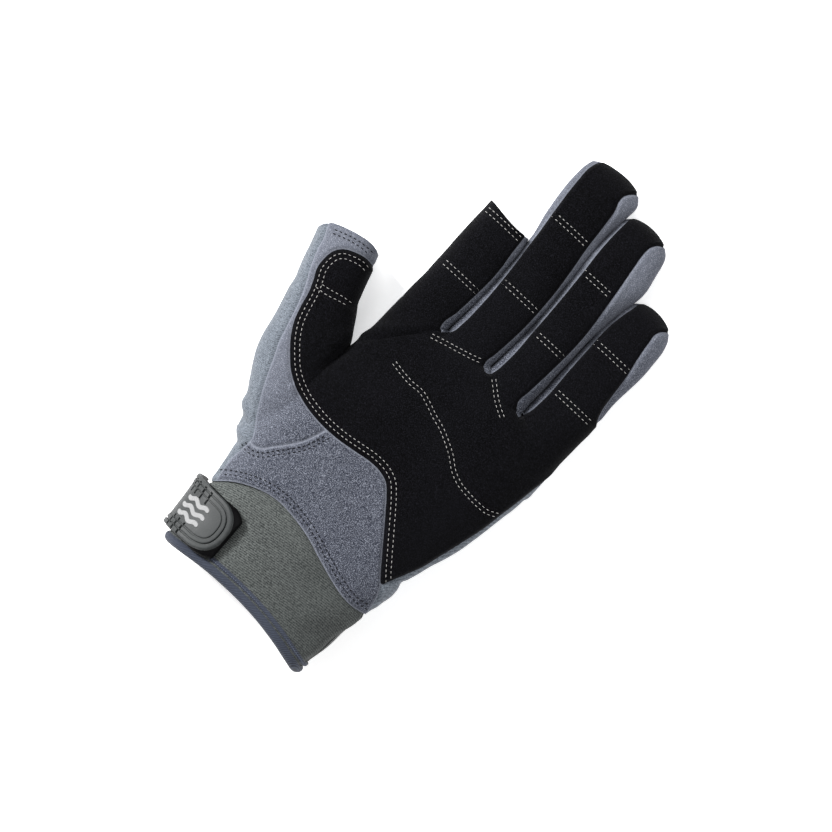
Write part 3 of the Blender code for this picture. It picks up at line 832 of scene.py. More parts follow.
def inner_half(name):
    """Positive on the side of a finger that faces the thumb."""
    centre = np.array(FINGERS[name])[:, :3]
    return lambda data: np.interp(data[:, 1], centre[:, 0], centre[:, 1:].mean(1)) - data[:, 0]


def up_to_black(front, inner):
    """The index finger's back, which on the thumb's side reaches up to the black front."""
    return lambda data: np.where(inner(data) > 0, -front(data), FINGER_BACK - data[:, 2])


def digit_panel(body, piece, region, finish, seams, stands_for, cuts=()):
    """One panel of a digit's segment, baked in place."""
    first, crossing = CROSSINGS[body]
    panel(f"{body}_{piece}", region, finish, first, seams, cuts, crossing, [f"{body}_{stands_for}"])


def make_finger(name):
    """A finger's panels, segment by segment. The index finger has no suede wall on its inner side."""
    whole = finger_zone(name)
    front, inner = finger_front(name), inner_half(name)
    above_back = past(Z, FINGER_BACK)
    index = name == "index"
    back = up_to_black(front, inner) if index else opposite(above_back)
    bounds = [-99, *ZONE_ENDS[name], 199]
    for segment, near, far in zip(("base", "middle", "tip"), bounds, bounds[1:]):
        body = f"{name}_{segment}"
        zone = cut_out(whole, [past(Y, near), opposite(past(Y, far))])
        sides = cut_out(zone, [grown(opposite(front), OVERLAP)])
        inner_solid, outer_solid = ("front", "front") if segment == "tip" else ("side_inner", "side_outer")
        digit_panel(body, "front_suede", zone, "black_suede", [front], "front")
        if not index:
            digit_panel(body, "inner_suede", sides, "grey_suede", [opposite(front), above_back],
                        inner_solid, cuts=[inner])
        digit_panel(body, "outer_suede", sides, "grey_suede", [opposite(front), above_back],
                    "side" if index else outer_solid, cuts=[opposite(inner)])
        digit_panel(body, "back_stretch", sides, "stretch", [back], "back")


# how far the thumb's hem lies past its nominal end, over the distance across the thumb
HEM_SAG = [(-14, -1.2), (-12.1, 0.2), (-10.6, 1.4), (-8, 2.4), (-3.8, 2.5), (1.4, 2.2), (6.5, 1.5),
           (9.4, 0.6), (11.6, -0.7), (13, -2.4)]


def hem_sag(data):
    """The thumb's cut end bows outwards a little, in plan."""
    return straight_between(HEM_SAG, thumb_axes(data)[0])


def make_thumb():
    """The thumb's panels, in two segments."""
    whole = cut_out(FORM, [beyond_root, lambda d: THUMB_END - thumb_v(d) + hem_sag(d)])
    not_black = opposite(black_area)
    for body, (near, far) in {"thumb_base": (-9, THUMB_SPLIT), "thumb_tip": (THUMB_SPLIT, 99)}.items():
        zone = cut_out(whole, [lambda d: thumb_v(d) - near, lambda d: far - thumb_v(d)])
        digit_panel(body, "front_suede", zone, "black_suede", [black_area], "front")
        rest = cut_out(zone, [grown(not_black, OVERLAP)])
        digit_panel(body, "side_suede", rest, "grey_suede", [not_black, grey_front], "side")
        digit_panel(body, "back_stretch", rest, "stretch", [not_black, opposite(grey_front)], "back")


CROSSINGS = all_crossings()


# ---------------------------------------------------------------- the cuff
# stations along the cuff's outside: y, left edge x, right edge x, bottom z, top z
CUFF = [(-105, -37.8, 33.4, 2.4, 35), (-97, -38.6, 34.4, 2.4, 34.8), (-84, -39.8, 36.0, 2.4, 34.2),
        (-74, -41, 37.7, 2, 34), (-66, -41.3, 38.4, 1, 33.8), (-56, -42.5, 39, 0.9, 33.2)]
CUFF_POWER = 2.75
CUFF_MIDDLE_Y = -86
MOUTH = [(-38, -98.8), (-30, -97.6), (-20, -96.3), (-10, -95.9), (0, -96.1), (10, -97.0), (20, -98.8),
         (34, -102.5)]
CUFF_SEAM = 12  # degrees above the side, where the cuff's halves are sewn together
CUFF_COLUMNS, CUFF_ROWS = 150, 56
CUFF_TUCK, MOUTH_TUCK = 3.2, 1.2  # how far the neoprene reaches under the suede, and stops short of the mouth


def cuff_at(y, angle, out=0.0):
    """Places on the cuff's section at y, angle in degrees, and how far out of its surface."""
    y, angle, out = np.broadcast_arrays(*(np.asarray(v, float) for v in (y, angle, out)))
    left, right, bottom, top = np.moveaxis(smooth(CUFF, y), -1, 0)
    c, s = np.cos(np.radians(angle)), np.sin(np.radians(angle))
    x = np.sign(c) * np.abs(c) ** (2 / CUFF_POWER) * ((right - left) / 2 + out) + (left + right) / 2
    z = np.sign(s) * np.abs(s) ** (2 / CUFF_POWER) * ((top - bottom) / 2 + out) + (bottom + top) / 2
    return np.stack([x, y, z], axis=-1)


def mouth_at(x):
    """The y of the cuff's mouth over x."""
    return smooth(MOUTH, x)[..., 0]


def even_angles(start, end, count):
    """Angles from start to end that step evenly along the cuff's outline at its middle."""
    fine = np.linspace(start, end, 800)
    run = run_along(cuff_at(CUFF_MIDDLE_Y, fine))
    return np.interp(np.linspace(0, run[-1], count), run, fine)


def tidy_mesh(obj):
    """Drops loose points and makes all faces look outwards."""
    work = bmesh.new()
    work.from_mesh(obj.data)
    bmesh.ops.delete(work, geom=[v for v in work.verts if not v.link_faces], context="VERTS")
    bmesh.ops.recalc_face_normals(work, faces=work.faces)
    work.to_mesh(obj.data)
    work.free()


def slab(name, outer, inner):
    """A closed solid between two grids of points of the same shape, kept off the floor."""
    rows, columns = outer.shape[:2]
    count = rows * columns
    faces = grid_faces(rows, columns)
    faces += [tuple(count + i for i in reversed(face)) for face in faces]
    loop = list(range(columns - 1)) + [r * columns + columns - 1 for r in range(rows - 1)]
    loop += [count - 1 - j for j in range(columns - 1)] + [r * columns for r in range(rows - 1, 0, -1)]
    for a, b in zip(loop, loop[1:] + loop[:1]):
        faces.append((b, a, a + count, b + count))
    points = np.vstack([outer.reshape(-1, 3), inner.reshape(-1, 3)])
    points[:, 2] = np.maximum(points[:, 2], FLOOR_CLEAR)
    obj = blender_mesh(name, points, faces)
    tidy_mesh(obj)
    return obj


def cuff_ripple(y, angle):
    """Slack in the neoprene: long shallow swells."""
    return 0.35 * np.sin(y * 0.33 + angle * 0.05) + 0.22 * np.sin(angle * 0.17 + y * 0.11 + 1)


def cuff_edge_y(x):
    """The y of the suede's edge over the cuff."""
    order = np.argsort(CUFF_EDGE[:, 0])
    return np.interp(x, CUFF_EDGE[order, 0], CUFF_EDGE[order, 1])


def cuff_panel(name, start, end, stands_for):
    """Half of the neoprene tube, from under the suede's edge to inside the binding."""
    angles = even_angles(start, end, CUFF_COLUMNS)
    x = cuff_at(-74, angles)[:, 0]
    top, bottom = cuff_edge_y(x) + CUFF_TUCK, mouth_at(x) + MOUTH_TUCK
    y = top + (bottom - top) * np.linspace(0, 1, CUFF_ROWS)[:, None]
    seam = np.minimum(np.abs(angles - start), np.abs(angles - end)) * 0.6
    tucked = np.clip((y - cuff_edge_y(x) + 2.5) / 3, 0, 1)
    sink = turned(seam) + cuff_ripple(y, angles) * (1 - tucked) - 0.9 * tucked**2 * (3 - 2 * tucked)
    outer, inner = cuff_at(y, angles, sink - 0.1), cuff_at(y, angles, sink * 0.4 - NEOPRENE)
    settle(slab(name, outer, inner), "neoprene", "hand", stands_for=[stands_for])


# the binding's section: distance from the mouth along the cuff, and out of its surface
ROLL_ANGLES = np.radians(np.arange(-70, 143, 12.5))
BINDING_ROLL = [(1.62 - 1.97 * math.cos(a), -1.1 + 1.9 * math.sin(a)) for a in ROLL_ANGLES]
BINDING = [(4.2, -2.6), (4.2, -3.1), (3.0, -3.25), *BINDING_ROLL, (3.3, -0.45), (3.5, -0.75), (3.7, -0.7),
           (3.85, 0.1), (4.1, 0.45), (4.7, 0.6), (5.35, 0.5), (5.65, 0.3), (5.68, -0.05), (5.4, -0.35),
           (4.6, -0.4)]


def make_binding():
    """A folded strip round the mouth: a full roll over the edge, then a flat band sewn down."""
    angles = even_angles(0, 360, 241)[:-1]
    mouth = mouth_at(cuff_at(-98, angles)[:, 0])
    swell = cuff_ripple(mouth, angles) * 0.9
    points = np.vstack([cuff_at(mouth + along - 1.3, angles, out + swell + 0.1) for along, out in BINDING])
    points[:, 2] = np.maximum(points[:, 2], FLOOR_CLEAR)
    count = len(angles)
    faces = grid_faces(len(BINDING), count, closed=True)
    last = len(points) - count
    for j in range(count):
        k = (j + 1) % count
        faces.append((last + j, last + k, k, j))
    obj = blender_mesh("edge_binding", points, faces)
    obj.data.set_sharp_from_angle(angle=math.radians(70))
    settle(obj, "binding", "hand", stands_for=["cuff_binding"])


# ---------------------------------------------------------------- the closure
STRAP_MIDDLE = -84.6  # y of the strap's middle line
TAB_TOP, TAB_BASE = 5.2, 2.5  # heights of the moulded tab's rim and underside above the cuff
TAB_START, TAB_END = 110.0, 192.0  # degrees round the cuff
TAB_ROUND = 10.5  # length of its rounded end


def strap_run():
    """Distances from the tab's rounded end, and the angles they are at."""
    fine = np.linspace(TAB_START, TAB_END, 600)
    return run_along(cuff_at(STRAP_MIDDLE, fine, TAB_BASE + 1)), fine


def tab_outline():
    """The tab's outline in its own flat plane: distance from the rounded end, and across it."""
    length = strap_run()[0][-1]
    along = np.r_[TAB_ROUND * (1 - np.cos(np.linspace(0, math.pi / 2, 26))), length]
    share = np.clip(along / TAB_ROUND, 0, 1)
    half = 10.8 + 0.9 * np.clip((along - 8) / 20, 0, 1)
    half *= (1 - (1 - share) ** CAP_POWER) ** (1 / CAP_POWER)
    centre = 0.9 - 0.9 * np.clip((along - 6) / 14, 0, 1)
    low_side = np.column_stack([along, centre - half])
    high_side = np.column_stack([along, centre + half])[1:]
    return np.vstack([low_side, high_side[::-1]])


# the tab's top: distance inside its outline, and height over its rim
RIM_PROFILE = [(0, -0.75), (0.12, -0.32), (0.45, -0.04), (0.8, 0), (1.6, 0), (1.8, -0.12), (1.9, -0.8),
               (2.3, -0.8), (2.4, -0.25), (2.6, -0.16), (3.7, -0.16), (3.85, -0.28), (3.95, -0.95),
               (4.35, -0.95), (4.45, -0.62), (4.7, -0.55), (30, -0.5)]


# the slots across the rims near the hinge end: distance along the tab, and side
TAB_SLOTS = [(14.2, 1), (17.8, 1), (21.4, 1), (24.6, 1), (16, -1), (19.4, -1), (22.8, -1)]
SLOT_HALF, SLOT_FROM, SLOT_TO = 0.36, 5.2, 10.4  # half width, and their reach across the tab


def slot_depth(s, t):
    """How deep the slots cut at places along and across the tab."""
    depth = np.zeros(len(s))
    for at, side in TAB_SLOTS:
        reach = (t * side > SLOT_FROM) & (t * side < SLOT_TO)
        depth = np.where(reach & (np.abs(s - at) < SLOT_HALF), 1.0, depth)
    return depth


def away_from(outline, data):
    """The outward direction, in the tab's plane, at each point."""
    steps = np.eye(2, data.shape[1]) * 0.4
    slope = np.column_stack([inside(outline, data - step) - inside(outline, data + step) for step in steps])
    return slope / np.maximum(np.linalg.norm(slope, axis=1), 1e-6)[:, None]


# how far the tab's sides spread out, and the height above the cuff. The near-black foot they flare to, widest
# at the rounded end, is partly the tab's side wall and partly painted shadow on the cuff.
FOOT_PROFILE = [(0.15, TAB_TOP - 1.1), (0.9, TAB_TOP - 1.5), (1.9, TAB_BASE + 0.9), (2.5, TAB_BASE + 0.3),
                (2.7, TAB_BASE - 0.2), (2.6, TAB_BASE - 0.7), (2.2, TAB_BASE - 1.0)]


def on_tab(s, t, height):
    """From the tab's flat plane to its place on the cuff."""
    run, fine = strap_run()
    return cuff_at(STRAP_MIDDLE + t, np.interp(s, run, fine), height)


def make_tab():
    """The moulded tab: rims and slots on top, sides that flare to a wider near-black foot, and a flat
    underside. The foot is partly the tab's dark side wall and partly painted shadow on the cuff.
    """
    outline = tab_outline()
    length = outline[:, 0].max()
    step = 0.34
    s, t = np.arange(-0.5, length + step, step), np.arange(-13, 13 + step, step)
    grid = np.array([(a, b, 0, 0, 0, 1) for a in s for b in t])
    quads = np.array(grid_faces(len(s), len(t)))
    tri = np.vstack([quads[:, [0, 1, 2]], quads[:, [0, 2, 3]]])
    data, tri = cut_out((grid, tri), [lambda d: inside(outline, d)])
    for level, _ in RIM_PROFILE[1:-1]:
        data, tri = split(data, tri, inside(outline, data) - level)
    for at, _ in TAB_SLOTS:
        for side in (-SLOT_HALF, SLOT_HALF):
            data, tri = split(data, tri, data[:, 0] - at - side)
    data, tri = compact(data, tri)
    drop = straight_between(RIM_PROFILE, inside(outline, data)) - slot_depth(data[:, 0], data[:, 1])
    hinge = np.clip((data[:, 0] - (length - 3)) / 3, 0, 1)
    top = TAB_TOP + np.maximum(drop, -1.25) - 1.2 * hinge**2
    rings = [on_tab(data[:, 0], data[:, 1], top)]
    outward = away_from(outline, data)
    for spread, height in FOOT_PROFILE:
        # the foot spreads furthest at the rounded end, where it paints the tab's shadow on the cuff
        share = spread * (0.1 + 1.15 * np.clip(-outward[:, 0], 0, 1))
        moved = data[:, :2] + outward * share[:, None]
        rings.append(on_tab(moved[:, 0], moved[:, 1], np.full(len(data), height)))
    count, rim = len(data), rim_of(tri)
    faces = tri.tolist()
    for a in range(0, (len(rings) - 1) * count, count):
        b = a + count
        faces += np.column_stack([rim[:, 1] + a, rim[:, 0] + a, rim[:, 0] + b, rim[:, 1] + b]).tolist()
    faces += (tri[:, ::-1] + (len(rings) - 1) * count).tolist()
    obj = blender_mesh("pull_tab_rubber", np.vstack(rings), faces)
    settle(obj, "moulded_rubber", "pull_strap", stands_for=["pull_tab"])
    # the sides and underside take the near-black rubber: partly the tab's dark wall, partly painted shadow
    obj.data.materials.append(material_of("foot_rubber"))
    lower = np.zeros(len(faces), np.int32)
    lower[len(tri) + len(rim):] = 1
    obj.data.polygons.foreach_set("material_index", lower)
    tidy_mesh(obj)
    obj.data.set_sharp_from_angle(angle=math.radians(32))


# a raised bar's section: across it, as a share of its half width, and up
WAVE_SECTION = [(-1, 0.2), (-0.97, 0.62), (-0.8, 0.8), (0.8, 0.8), (0.97, 0.62), (1, 0.2)]


def make_motif():
    """Three raised wavy bars in white."""
    rows = len(WAVE_SECTION)
    columns = 72
    for i, middle in enumerate((3.6, 0.2, -3.2)):
        start, end = 10.4 + 0.5 * abs(i - 1), 23.2 - 0.5 * abs(i - 1)
        s = start + (end - start) * (1 - np.cos(np.linspace(0, math.pi, columns))) / 2
        rate = 2 * math.tau / (end - start)
        centre = middle + 0.6 * np.sin((s - start) * rate)
        slope = 0.6 * rate * np.cos((s - start) * rate)
        near_end = np.clip(np.minimum(s - start, end - s) / 0.9, 0, 1)
        half = 0.95 * np.sqrt(np.maximum(1 - (1 - near_end) ** 2, 0.01)) / np.hypot(1, slope)
        points = np.vstack([on_tab(s - across * half * slope, centre + across * half, TAB_TOP - 1.0 + height)
                            for across, height in WAVE_SECTION])
        last = (rows - 1) * columns
        faces = grid_faces(rows, columns) + [(last + j, last + j + 1, j + 1, j) for j in range(columns - 1)]
        faces.append(tuple(r * columns for r in range(rows)))
        faces.append(tuple(r * columns + columns - 1 for r in reversed(range(rows))))
        obj = blender_mesh(f"tab_wave_{i + 1}", points, faces)
        tidy_mesh(obj)
        obj.data.set_sharp_from_angle(angle=math.radians(30))
        settle(obj, "white_rubber", "pull_strap")


def strip(name, finish, body, angles, half, base, thickness, stands_for):
    """A strap or patch lying round the cuff, base above its surface, with soft edges and ends."""
    columns = 90
    around = even_angles(*angles, columns)
    across = np.linspace(-1, 1, 30)[:, None]
    shrink = 1 - np.clip((np.abs(across) - 0.94) / 0.06, 0, 1) ** 2 * 0.6
    soft = 1 - 0.6 * np.exp(-np.minimum(np.arange(columns), np.arange(columns)[::-1]) / 1.5)
    y = STRAP_MIDDLE + half * across
    layers = [cuff_at(y, around, height) for height in (base + thickness * shrink * soft, base)]
    settle(slab(name, *layers), finish, body, stands_for=[stands_for])


def make_cuff():
    """The neoprene cuff, its binding, and the closure."""
    cuff_panel("cuff_front_neoprene", CUFF_SEAM, 180 - CUFF_SEAM, "cuff_front")
    cuff_panel("cuff_back_neoprene", 180 - CUFF_SEAM, 360 + CUFF_SEAM, "cuff_back")
    make_binding()
    strip("strap_webbing", "webbing", "hand", (202, 268), 9.3, 0.45, 1.5, "wrist_strap")
    strip("loop_fabric", "hook_and_loop", "hand", (118, 150), 8.6, 0.35, 0.85, "loop_patch")
    strip("hook_fabric", "hook_and_loop", "pull_strap", (119, 148), 8, 1.5, 0.7, "hook_patch")
    make_tab()
    make_motif()


# ---------------------------------------------------------------- stitching
THREAD_R = {"white_thread": 0.115, "blue_thread": 0.115, "grey_thread": 0.24}
STITCH, PITCH = 1.15, 2.0
# one stitch: the share of its length, its height over the cloth, and its thickness there
STITCH_RINGS = [(0, -0.16, 0.5), (0.14, 0.02, 0.92), (0.5, 0.1, 1), (0.86, 0.02, 0.92), (1, -0.16, 0.5)]
THREAD_SIDES = 6
STITCH_CLEAR = 0.02  # how far the underside's stitches stay above the floor
STITCH_POINTS = len(STITCH_RINGS) * THREAD_SIDES
STITCH_FACES = grid_faces(len(STITCH_RINGS), THREAD_SIDES, closed=True)
STITCH_FACES.append(tuple(reversed(range(THREAD_SIDES))))
STITCH_FACES.append(tuple(range(STITCH_POINTS - THREAD_SIDES, STITCH_POINTS)))
# how far to the left of its line each row of stitches lies
BLACK_ROWS, DOUBLE_ROWS, CUFF_EDGE_ROWS = (1.8, 3.7), (-0.8, 0.8), (2.3, 4.0)
THENAR_ROWS, HEM_ROWS, SINGLE_ROW = (-1.7, -3.3), (0, -1.6), (0,)
THUMB_HEM = curve_through([(-72, 31), (-70, 31.7), (-65, 33.4), (-60, 34.4), (-55, 34.7)])


def zone_at(x, y):
    """The zone of the hand that a place in plan is in, as a key of CROSSINGS."""
    spot = np.array([[x, y, 0.0]])
    if beyond_root(spot)[0] > 0:
        return "thumb_base" if thumb_v(spot)[0] < THUMB_SPLIT else "thumb_tip"
    if y <= web_y(spot)[0]:
        return "hand"
    for name in FINGERS:
        after = NEIGHBOURS[name][1]
        if after is None or gap_between(name, after)(spot)[0] < 0:
            segment = sum(y > end for end in ZONE_ENDS[name])
            return f"{name}_{('base', 'middle', 'tip')[segment]}"
    return "hand"


def skin_tree():
    """Everything sewn so far, for finding the place of each stitch."""
    points, faces, base = [], [], 0
    for outer, tri in OUTER_SKINS:
        points.append(outer)
        faces.append(tri + base)
        base += len(outer)
    return BVHTree.FromPolygons(np.vstack(points).tolist(), np.vstack(faces).tolist())


def thread_section(point, along, normal, radius):
    """A ring of points round a thread."""
    side = np.cross(along, normal)
    side /= np.linalg.norm(side)
    turn = np.linspace(0, 2 * math.pi, THREAD_SIDES, endpoint=False)[:, None]
    return point + radius * (np.cos(turn) * side + np.sin(turn) * normal)


def one_stitch(a, b, normal, radius):
    """The points of a short thread from a to b that dips into the cloth at its ends."""
    along = (b - a) / np.linalg.norm(b - a)
    return np.vstack([thread_section(a + (b - a) * share + normal * lift, along, normal, radius * size)
                      for share, lift, size in STITCH_RINGS])


def stitch_mesh(name, stitches):
    """One mesh of many stitches."""
    starts = range(0, len(stitches) * STITCH_POINTS, STITCH_POINTS)
    faces = [tuple(start + i for i in face) for start in starts for face in STITCH_FACES]
    return blender_mesh(name, np.vstack(stitches), faces)


def drop_on(tree, x, y, below=False):
    """The place and normal where a vertical line through (x, y) meets the glove from outside."""
    start, way = ((x, y, -20), (0, 0, 1)) if below else ((x, y, 60), (0, 0, -1))
    place, normal, _, _ = tree.ray_cast(start, way)
    if place is None:
        return None, None
    normal = np.array(normal)
    return np.array(place), normal if normal[2] * way[2] < 0 else -normal


def sew(tree, threads, line, finish, below=False):
    """Lays running stitches along a line in plan."""
    run = run_along(line)
    for start in np.arange(0.3, run[-1] - STITCH, PITCH):
        ends = [np.array([np.interp(s, run, line[:, k]) for k in (0, 1)]) for s in (start, start + STITCH)]
        a, first = drop_on(tree, *ends[0], below)
        b, second = drop_on(tree, *ends[1], below)
        if a is None or b is None or np.linalg.norm(a - b) > 2 * STITCH:
            continue
        points = one_stitch(a, b, (first + second) / 2, THREAD_R[finish])
        points[:, 2] += max(STITCH_CLEAR - points[:, 2].min(), 0)
        threads.setdefault((zone_at(*(ends[0] + ends[1]) / 2), finish), []).append(points)


def part_of(line, keep):
    """The stretch of a line whose points pass a test."""
    return line[[bool(keep(*point)) for point in line]]


def make_stitching():
    """All the running stitches, joined into one piece for each thread in each zone."""
    cuff = part_of(CUFF_EDGE, lambda x, y: -39 < x < 38.5)
    rows = [(part_of(BORDER, lambda x, y: x < -49.5 or y < 0), BLACK_ROWS, "white_thread")]
    palm = part_of(CENTRE, lambda x, y: -21 < x < 49.5)
    rows += [(line, DOUBLE_ROWS, "white_thread") for line in [palm, *UPPER_PALM]]
    rows += [(line, SINGLE_ROW, "white_thread") for line in FINGER_LINES + THUMB_CROSS]
    rows += [(cuff, CUFF_EDGE_ROWS, "grey_thread"), (THUMB_HEM, HEM_ROWS, "grey_thread")]
    rows += [(part_of(THENAR, lambda x, y: x > -41 and y < -27.5), THENAR_ROWS, "grey_thread")]
    tree = skin_tree()
    threads = {}
    for line, offsets, finish in rows:
        for offset in offsets:
            for below in (False, True) if line is cuff else (False,):
                sew(tree, threads, offset_line(line, offset), finish, below)
    for (zone, finish), stitches in sorted(threads.items(), key=lambda item: item[0]):
        body, crossing = CROSSINGS[zone]
        settle(stitch_mesh(f"{finish}_{zone}", stitches), finish, body, crossing)


BINDING_STEPS, BINDING_STITCH_Y = 181, 3.3  # steps round the mouth, and the row's distance from it


def make_binding_stitches():
    """The row of stitches that holds the binding's band down."""
    angles = even_angles(0, 360, BINDING_STEPS)[:-1]
    stitches = []
    for a, b in zip(angles, angles[1:]):
        ends = []
        for angle in (a, a + (b - a) * 0.66):
            y = mouth_at(cuff_at(-98, angle)[0]) + BINDING_STITCH_Y
            ends.append(cuff_at(y, angle, 0.68 + cuff_ripple(y, angle) * 0.9))
        out = cuff_at(-94, a, 2) - cuff_at(-94, a, 0)
        if ends[0][2] < 1.2 or np.linalg.norm(ends[1] - ends[0]) > 2.5:
            continue
        stitches.append(one_stitch(*ends, out / np.linalg.norm(out), THREAD_R["blue_thread"]))
    settle(stitch_mesh("binding_thread", stitches), "blue_thread", "hand")


# ---------------------------------------------------------------- materials
def srgb(*values):
    """A linear colour from 0 to 255 screen values."""
    out = []
    for v in values:
        v /= 255
        out.append(v / 12.92 if v <= 0.04045 else ((v + 0.055) / 1.055) ** 2.4)
    return (*out, 1)


class Nodes:
    """A small helper that builds one node material."""

    def __init__(self, name):
        self.material = bpy.data.materials.new(name)
        self.material.use_nodes = True
        self.tree = self.material.node_tree
        self.shader = self.tree.nodes["Principled BSDF"]
        self.place = self.add("ShaderNodeTexCoord").outputs["Object"]

    def add(self, kind, **values):
        node = self.tree.nodes.new(kind)
        for key, value in values.items():
            if key[0].islower():
                setattr(node, key, value)
            else:
                self.put(node, key.replace("_", " "), value)
        return node

    def put(self, node, key, value):
        """Links a socket to a node's input, or sets the input to a value."""
        if isinstance(value, bpy.types.NodeSocket):
            self.tree.links.new(value, node.inputs[key])
        else:
            node.inputs[key].default_value = value

    def math(self, operation, *values):
        node = self.add("ShaderNodeMath", operation=operation)
        for i, value in enumerate(values):
            self.put(node, i, value)
        return node.outputs[0]

    def noise(self, scale, detail=2.0, place=None, roughness=0.5):
        """Fractal noise with features about 1/scale metres across."""
        node = self.add("ShaderNodeTexNoise", Vector=place or self.place, Scale=scale, Detail=detail,
                        Roughness=roughness)
        return node.outputs["Fac"]

    def ramp(self, value, low, high, to_low=0.0, to_high=1.0):
        node = self.add("ShaderNodeMapRange", Value=value, From_Min=low, From_Max=high, To_Min=to_low,
                        To_Max=to_high)
        return node.outputs[0]

    def mix(self, factor, first, second):
        node = self.add("ShaderNodeMix", data_type="RGBA")
        for key, value in ((0, factor), (6, first), (7, second)):
            self.put(node, key, value)
        return node.outputs[2]

    def bump(self, height, distance, strength=1.0, under=None):
        node = self.add("ShaderNodeBump", Height=height, Distance=distance, Strength=strength)
        if under:
            self.put(node, "Normal", under)
        return node.outputs[0]

    def principled(self, **values):
        for key, value in values.items():
            self.put(self.shader, key.replace("_", " "), value)
        return self.material


def nap(name, dark, pale, fleck, sheen, painted_light, painted_sheen, worn):
    """Suede microfibre: cloudy nap, dark pores, pale fibre ends, and a pale line along each seam, partly wear
    and partly painted highlight. It can also take painted light towards the thumb's side and the fingertips,
    and pale patches of painted sheen.
    """
    n = Nodes(name)
    cloud = n.noise(70, 3, roughness=0.6)
    grain = n.noise(2300, 1, roughness=0.8)
    fine = n.noise(3300, 1)
    colour = n.mix(n.ramp(grain, 0.36, 0.6), dark, pale)
    colour = n.mix(n.ramp(cloud, 0.35, 0.7, 0, 0.12), colour, pale)
    # painted sheen: pale patches at random, standing in for the soft sheen on the black suede's folds
    colour = n.mix(n.ramp(n.noise(26, 2), 0.42, 0.62, 0, painted_sheen), colour, fleck)
    # painted light: the grey suede is made paler towards the thumb's side, which faces the light, and towards
    # the fingertips
    place = n.add("ShaderNodeSeparateXYZ", Vector=n.place)
    colour = n.mix(n.ramp(place.outputs["X"], -0.052, -0.03, painted_light, 0), colour, fleck)
    colour = n.mix(n.ramp(place.outputs["Y"], 0.045, 0.095, 0, painted_light), colour, fleck)
    colour = n.mix(n.ramp(fine, 0.5, 0.68, 0, 0.85), colour, fleck)
    # a pale line along each seam: partly wear of the nap, partly painted highlight where the edges catch the
    # light
    seam = n.add("ShaderNodeAttribute", attribute_name="seam").outputs["Fac"]
    colour = n.mix(n.ramp(seam, 0.05, 0.8, worn, 0), colour, fleck)
    bump = n.bump(fine, 0.0002, 0.9)
    bump = n.bump(grain, 0.0004, 0.7, bump)
    return n.principled(Base_Color=colour, Roughness=0.95, Normal=bump, Sheen_Weight=sheen,
                        Sheen_Roughness=0.45, Specular_IOR_Level=0.05)


def knit(name, dark, pale, pitch, slope, relief, grain_share, painted_shade=0.0):
    """Jersey: narrow ribs crossed by rows of loops. pitch is in metres."""
    n = Nodes(name)
    turned_place = n.add("ShaderNodeMapping", Vector=n.place)
    turned_place.inputs["Rotation"].default_value = (0.3, 0.25, slope)
    frequency = math.tau / (20 * pitch)
    ribs = n.add("ShaderNodeTexWave", bands_direction="X", Vector=turned_place.outputs[0], Scale=frequency,
                 Distortion=1.2, Detail=1)
    loops = n.add("ShaderNodeTexWave", bands_direction="Y", Vector=turned_place.outputs[0],
                  Scale=frequency * 1.35, Distortion=1.6, Detail=1)
    height = n.math("MULTIPLY", ribs.outputs["Fac"], n.ramp(loops.outputs["Fac"], 0, 1, 0.45, 1))
    grain = n.noise(1500, 3, roughness=0.7)
    mixed = n.math("ADD", n.math("MULTIPLY", height, 1 - grain_share), n.math("MULTIPLY", grain, grain_share))
    colour = n.mix(n.ramp(mixed, 0.34, 0.64), dark, pale)
    colour = n.mix(n.ramp(n.noise(45, 3), 0.35, 0.7, 0, 0.18), colour, dark)
    if painted_shade:
        # painted shade: darker towards the little finger's side, where the cuff turns away from the light
        across = n.add("ShaderNodeSeparateXYZ", Vector=n.place).outputs["X"]
        colour = n.mix(n.ramp(across, -0.02, 0.02, 0, painted_shade), colour, dark)
    bump = n.bump(mixed, relief, 0.8)
    return n.principled(Base_Color=colour, Roughness=0.85, Normal=bump, Sheen_Weight=0.12,
                        Sheen_Roughness=0.5, Specular_IOR_Level=0.2)


def rubber(name, colour, worn, shine=0.4):
    """Matt moulded rubber with a fine spark texture, paler where it is handled."""
    n = Nodes(name)
    cloud = n.noise(160, 3)
    base = n.mix(n.ramp(cloud, 0.35, 0.7, 0, 0.5), colour, worn)
    spark = n.noise(3800, 2)
    point = n.add("ShaderNodeNewGeometry").outputs["Pointiness"]
    base = n.mix(n.ramp(point, 0.52, 0.62, 0, 0.6), base, worn)
    bump = n.bump(spark, 0.00008, 0.7)
    return n.principled(Base_Color=base, Roughness=n.ramp(cloud, 0.3, 0.7, 0.5, 0.64), Normal=bump,
                        Specular_IOR_Level=shine)


def thread(name, colour):
    n = Nodes(name)
    twist = n.add("ShaderNodeTexWave", Vector=n.place, Scale=900, Distortion=2)
    shade = n.mix(n.ramp(n.noise(500, 2), 0.35, 0.65), (*(v * 0.72 for v in colour[:3]), 1), colour)
    bump = n.bump(twist.outputs["Fac"], 0.00006, 0.6)
    return n.principled(Base_Color=shade, Roughness=0.8, Sheen_Weight=0.03, Specular_IOR_Level=0.15,
                        Normal=bump)


def pile(name, dark, pale):
    """A dense pile of small hooks and loops."""
    n = Nodes(name)
    cells = n.add("ShaderNodeTexVoronoi", Vector=n.place, Scale=1300)
    tufts = n.ramp(cells.outputs["Distance"], 0.1, 0.7, 1, 0)
    colour = n.mix(tufts, dark, pale)
    bump = n.bump(tufts, 0.0006, 1)
    return n.principled(Base_Color=colour, Roughness=0.95, Normal=bump)


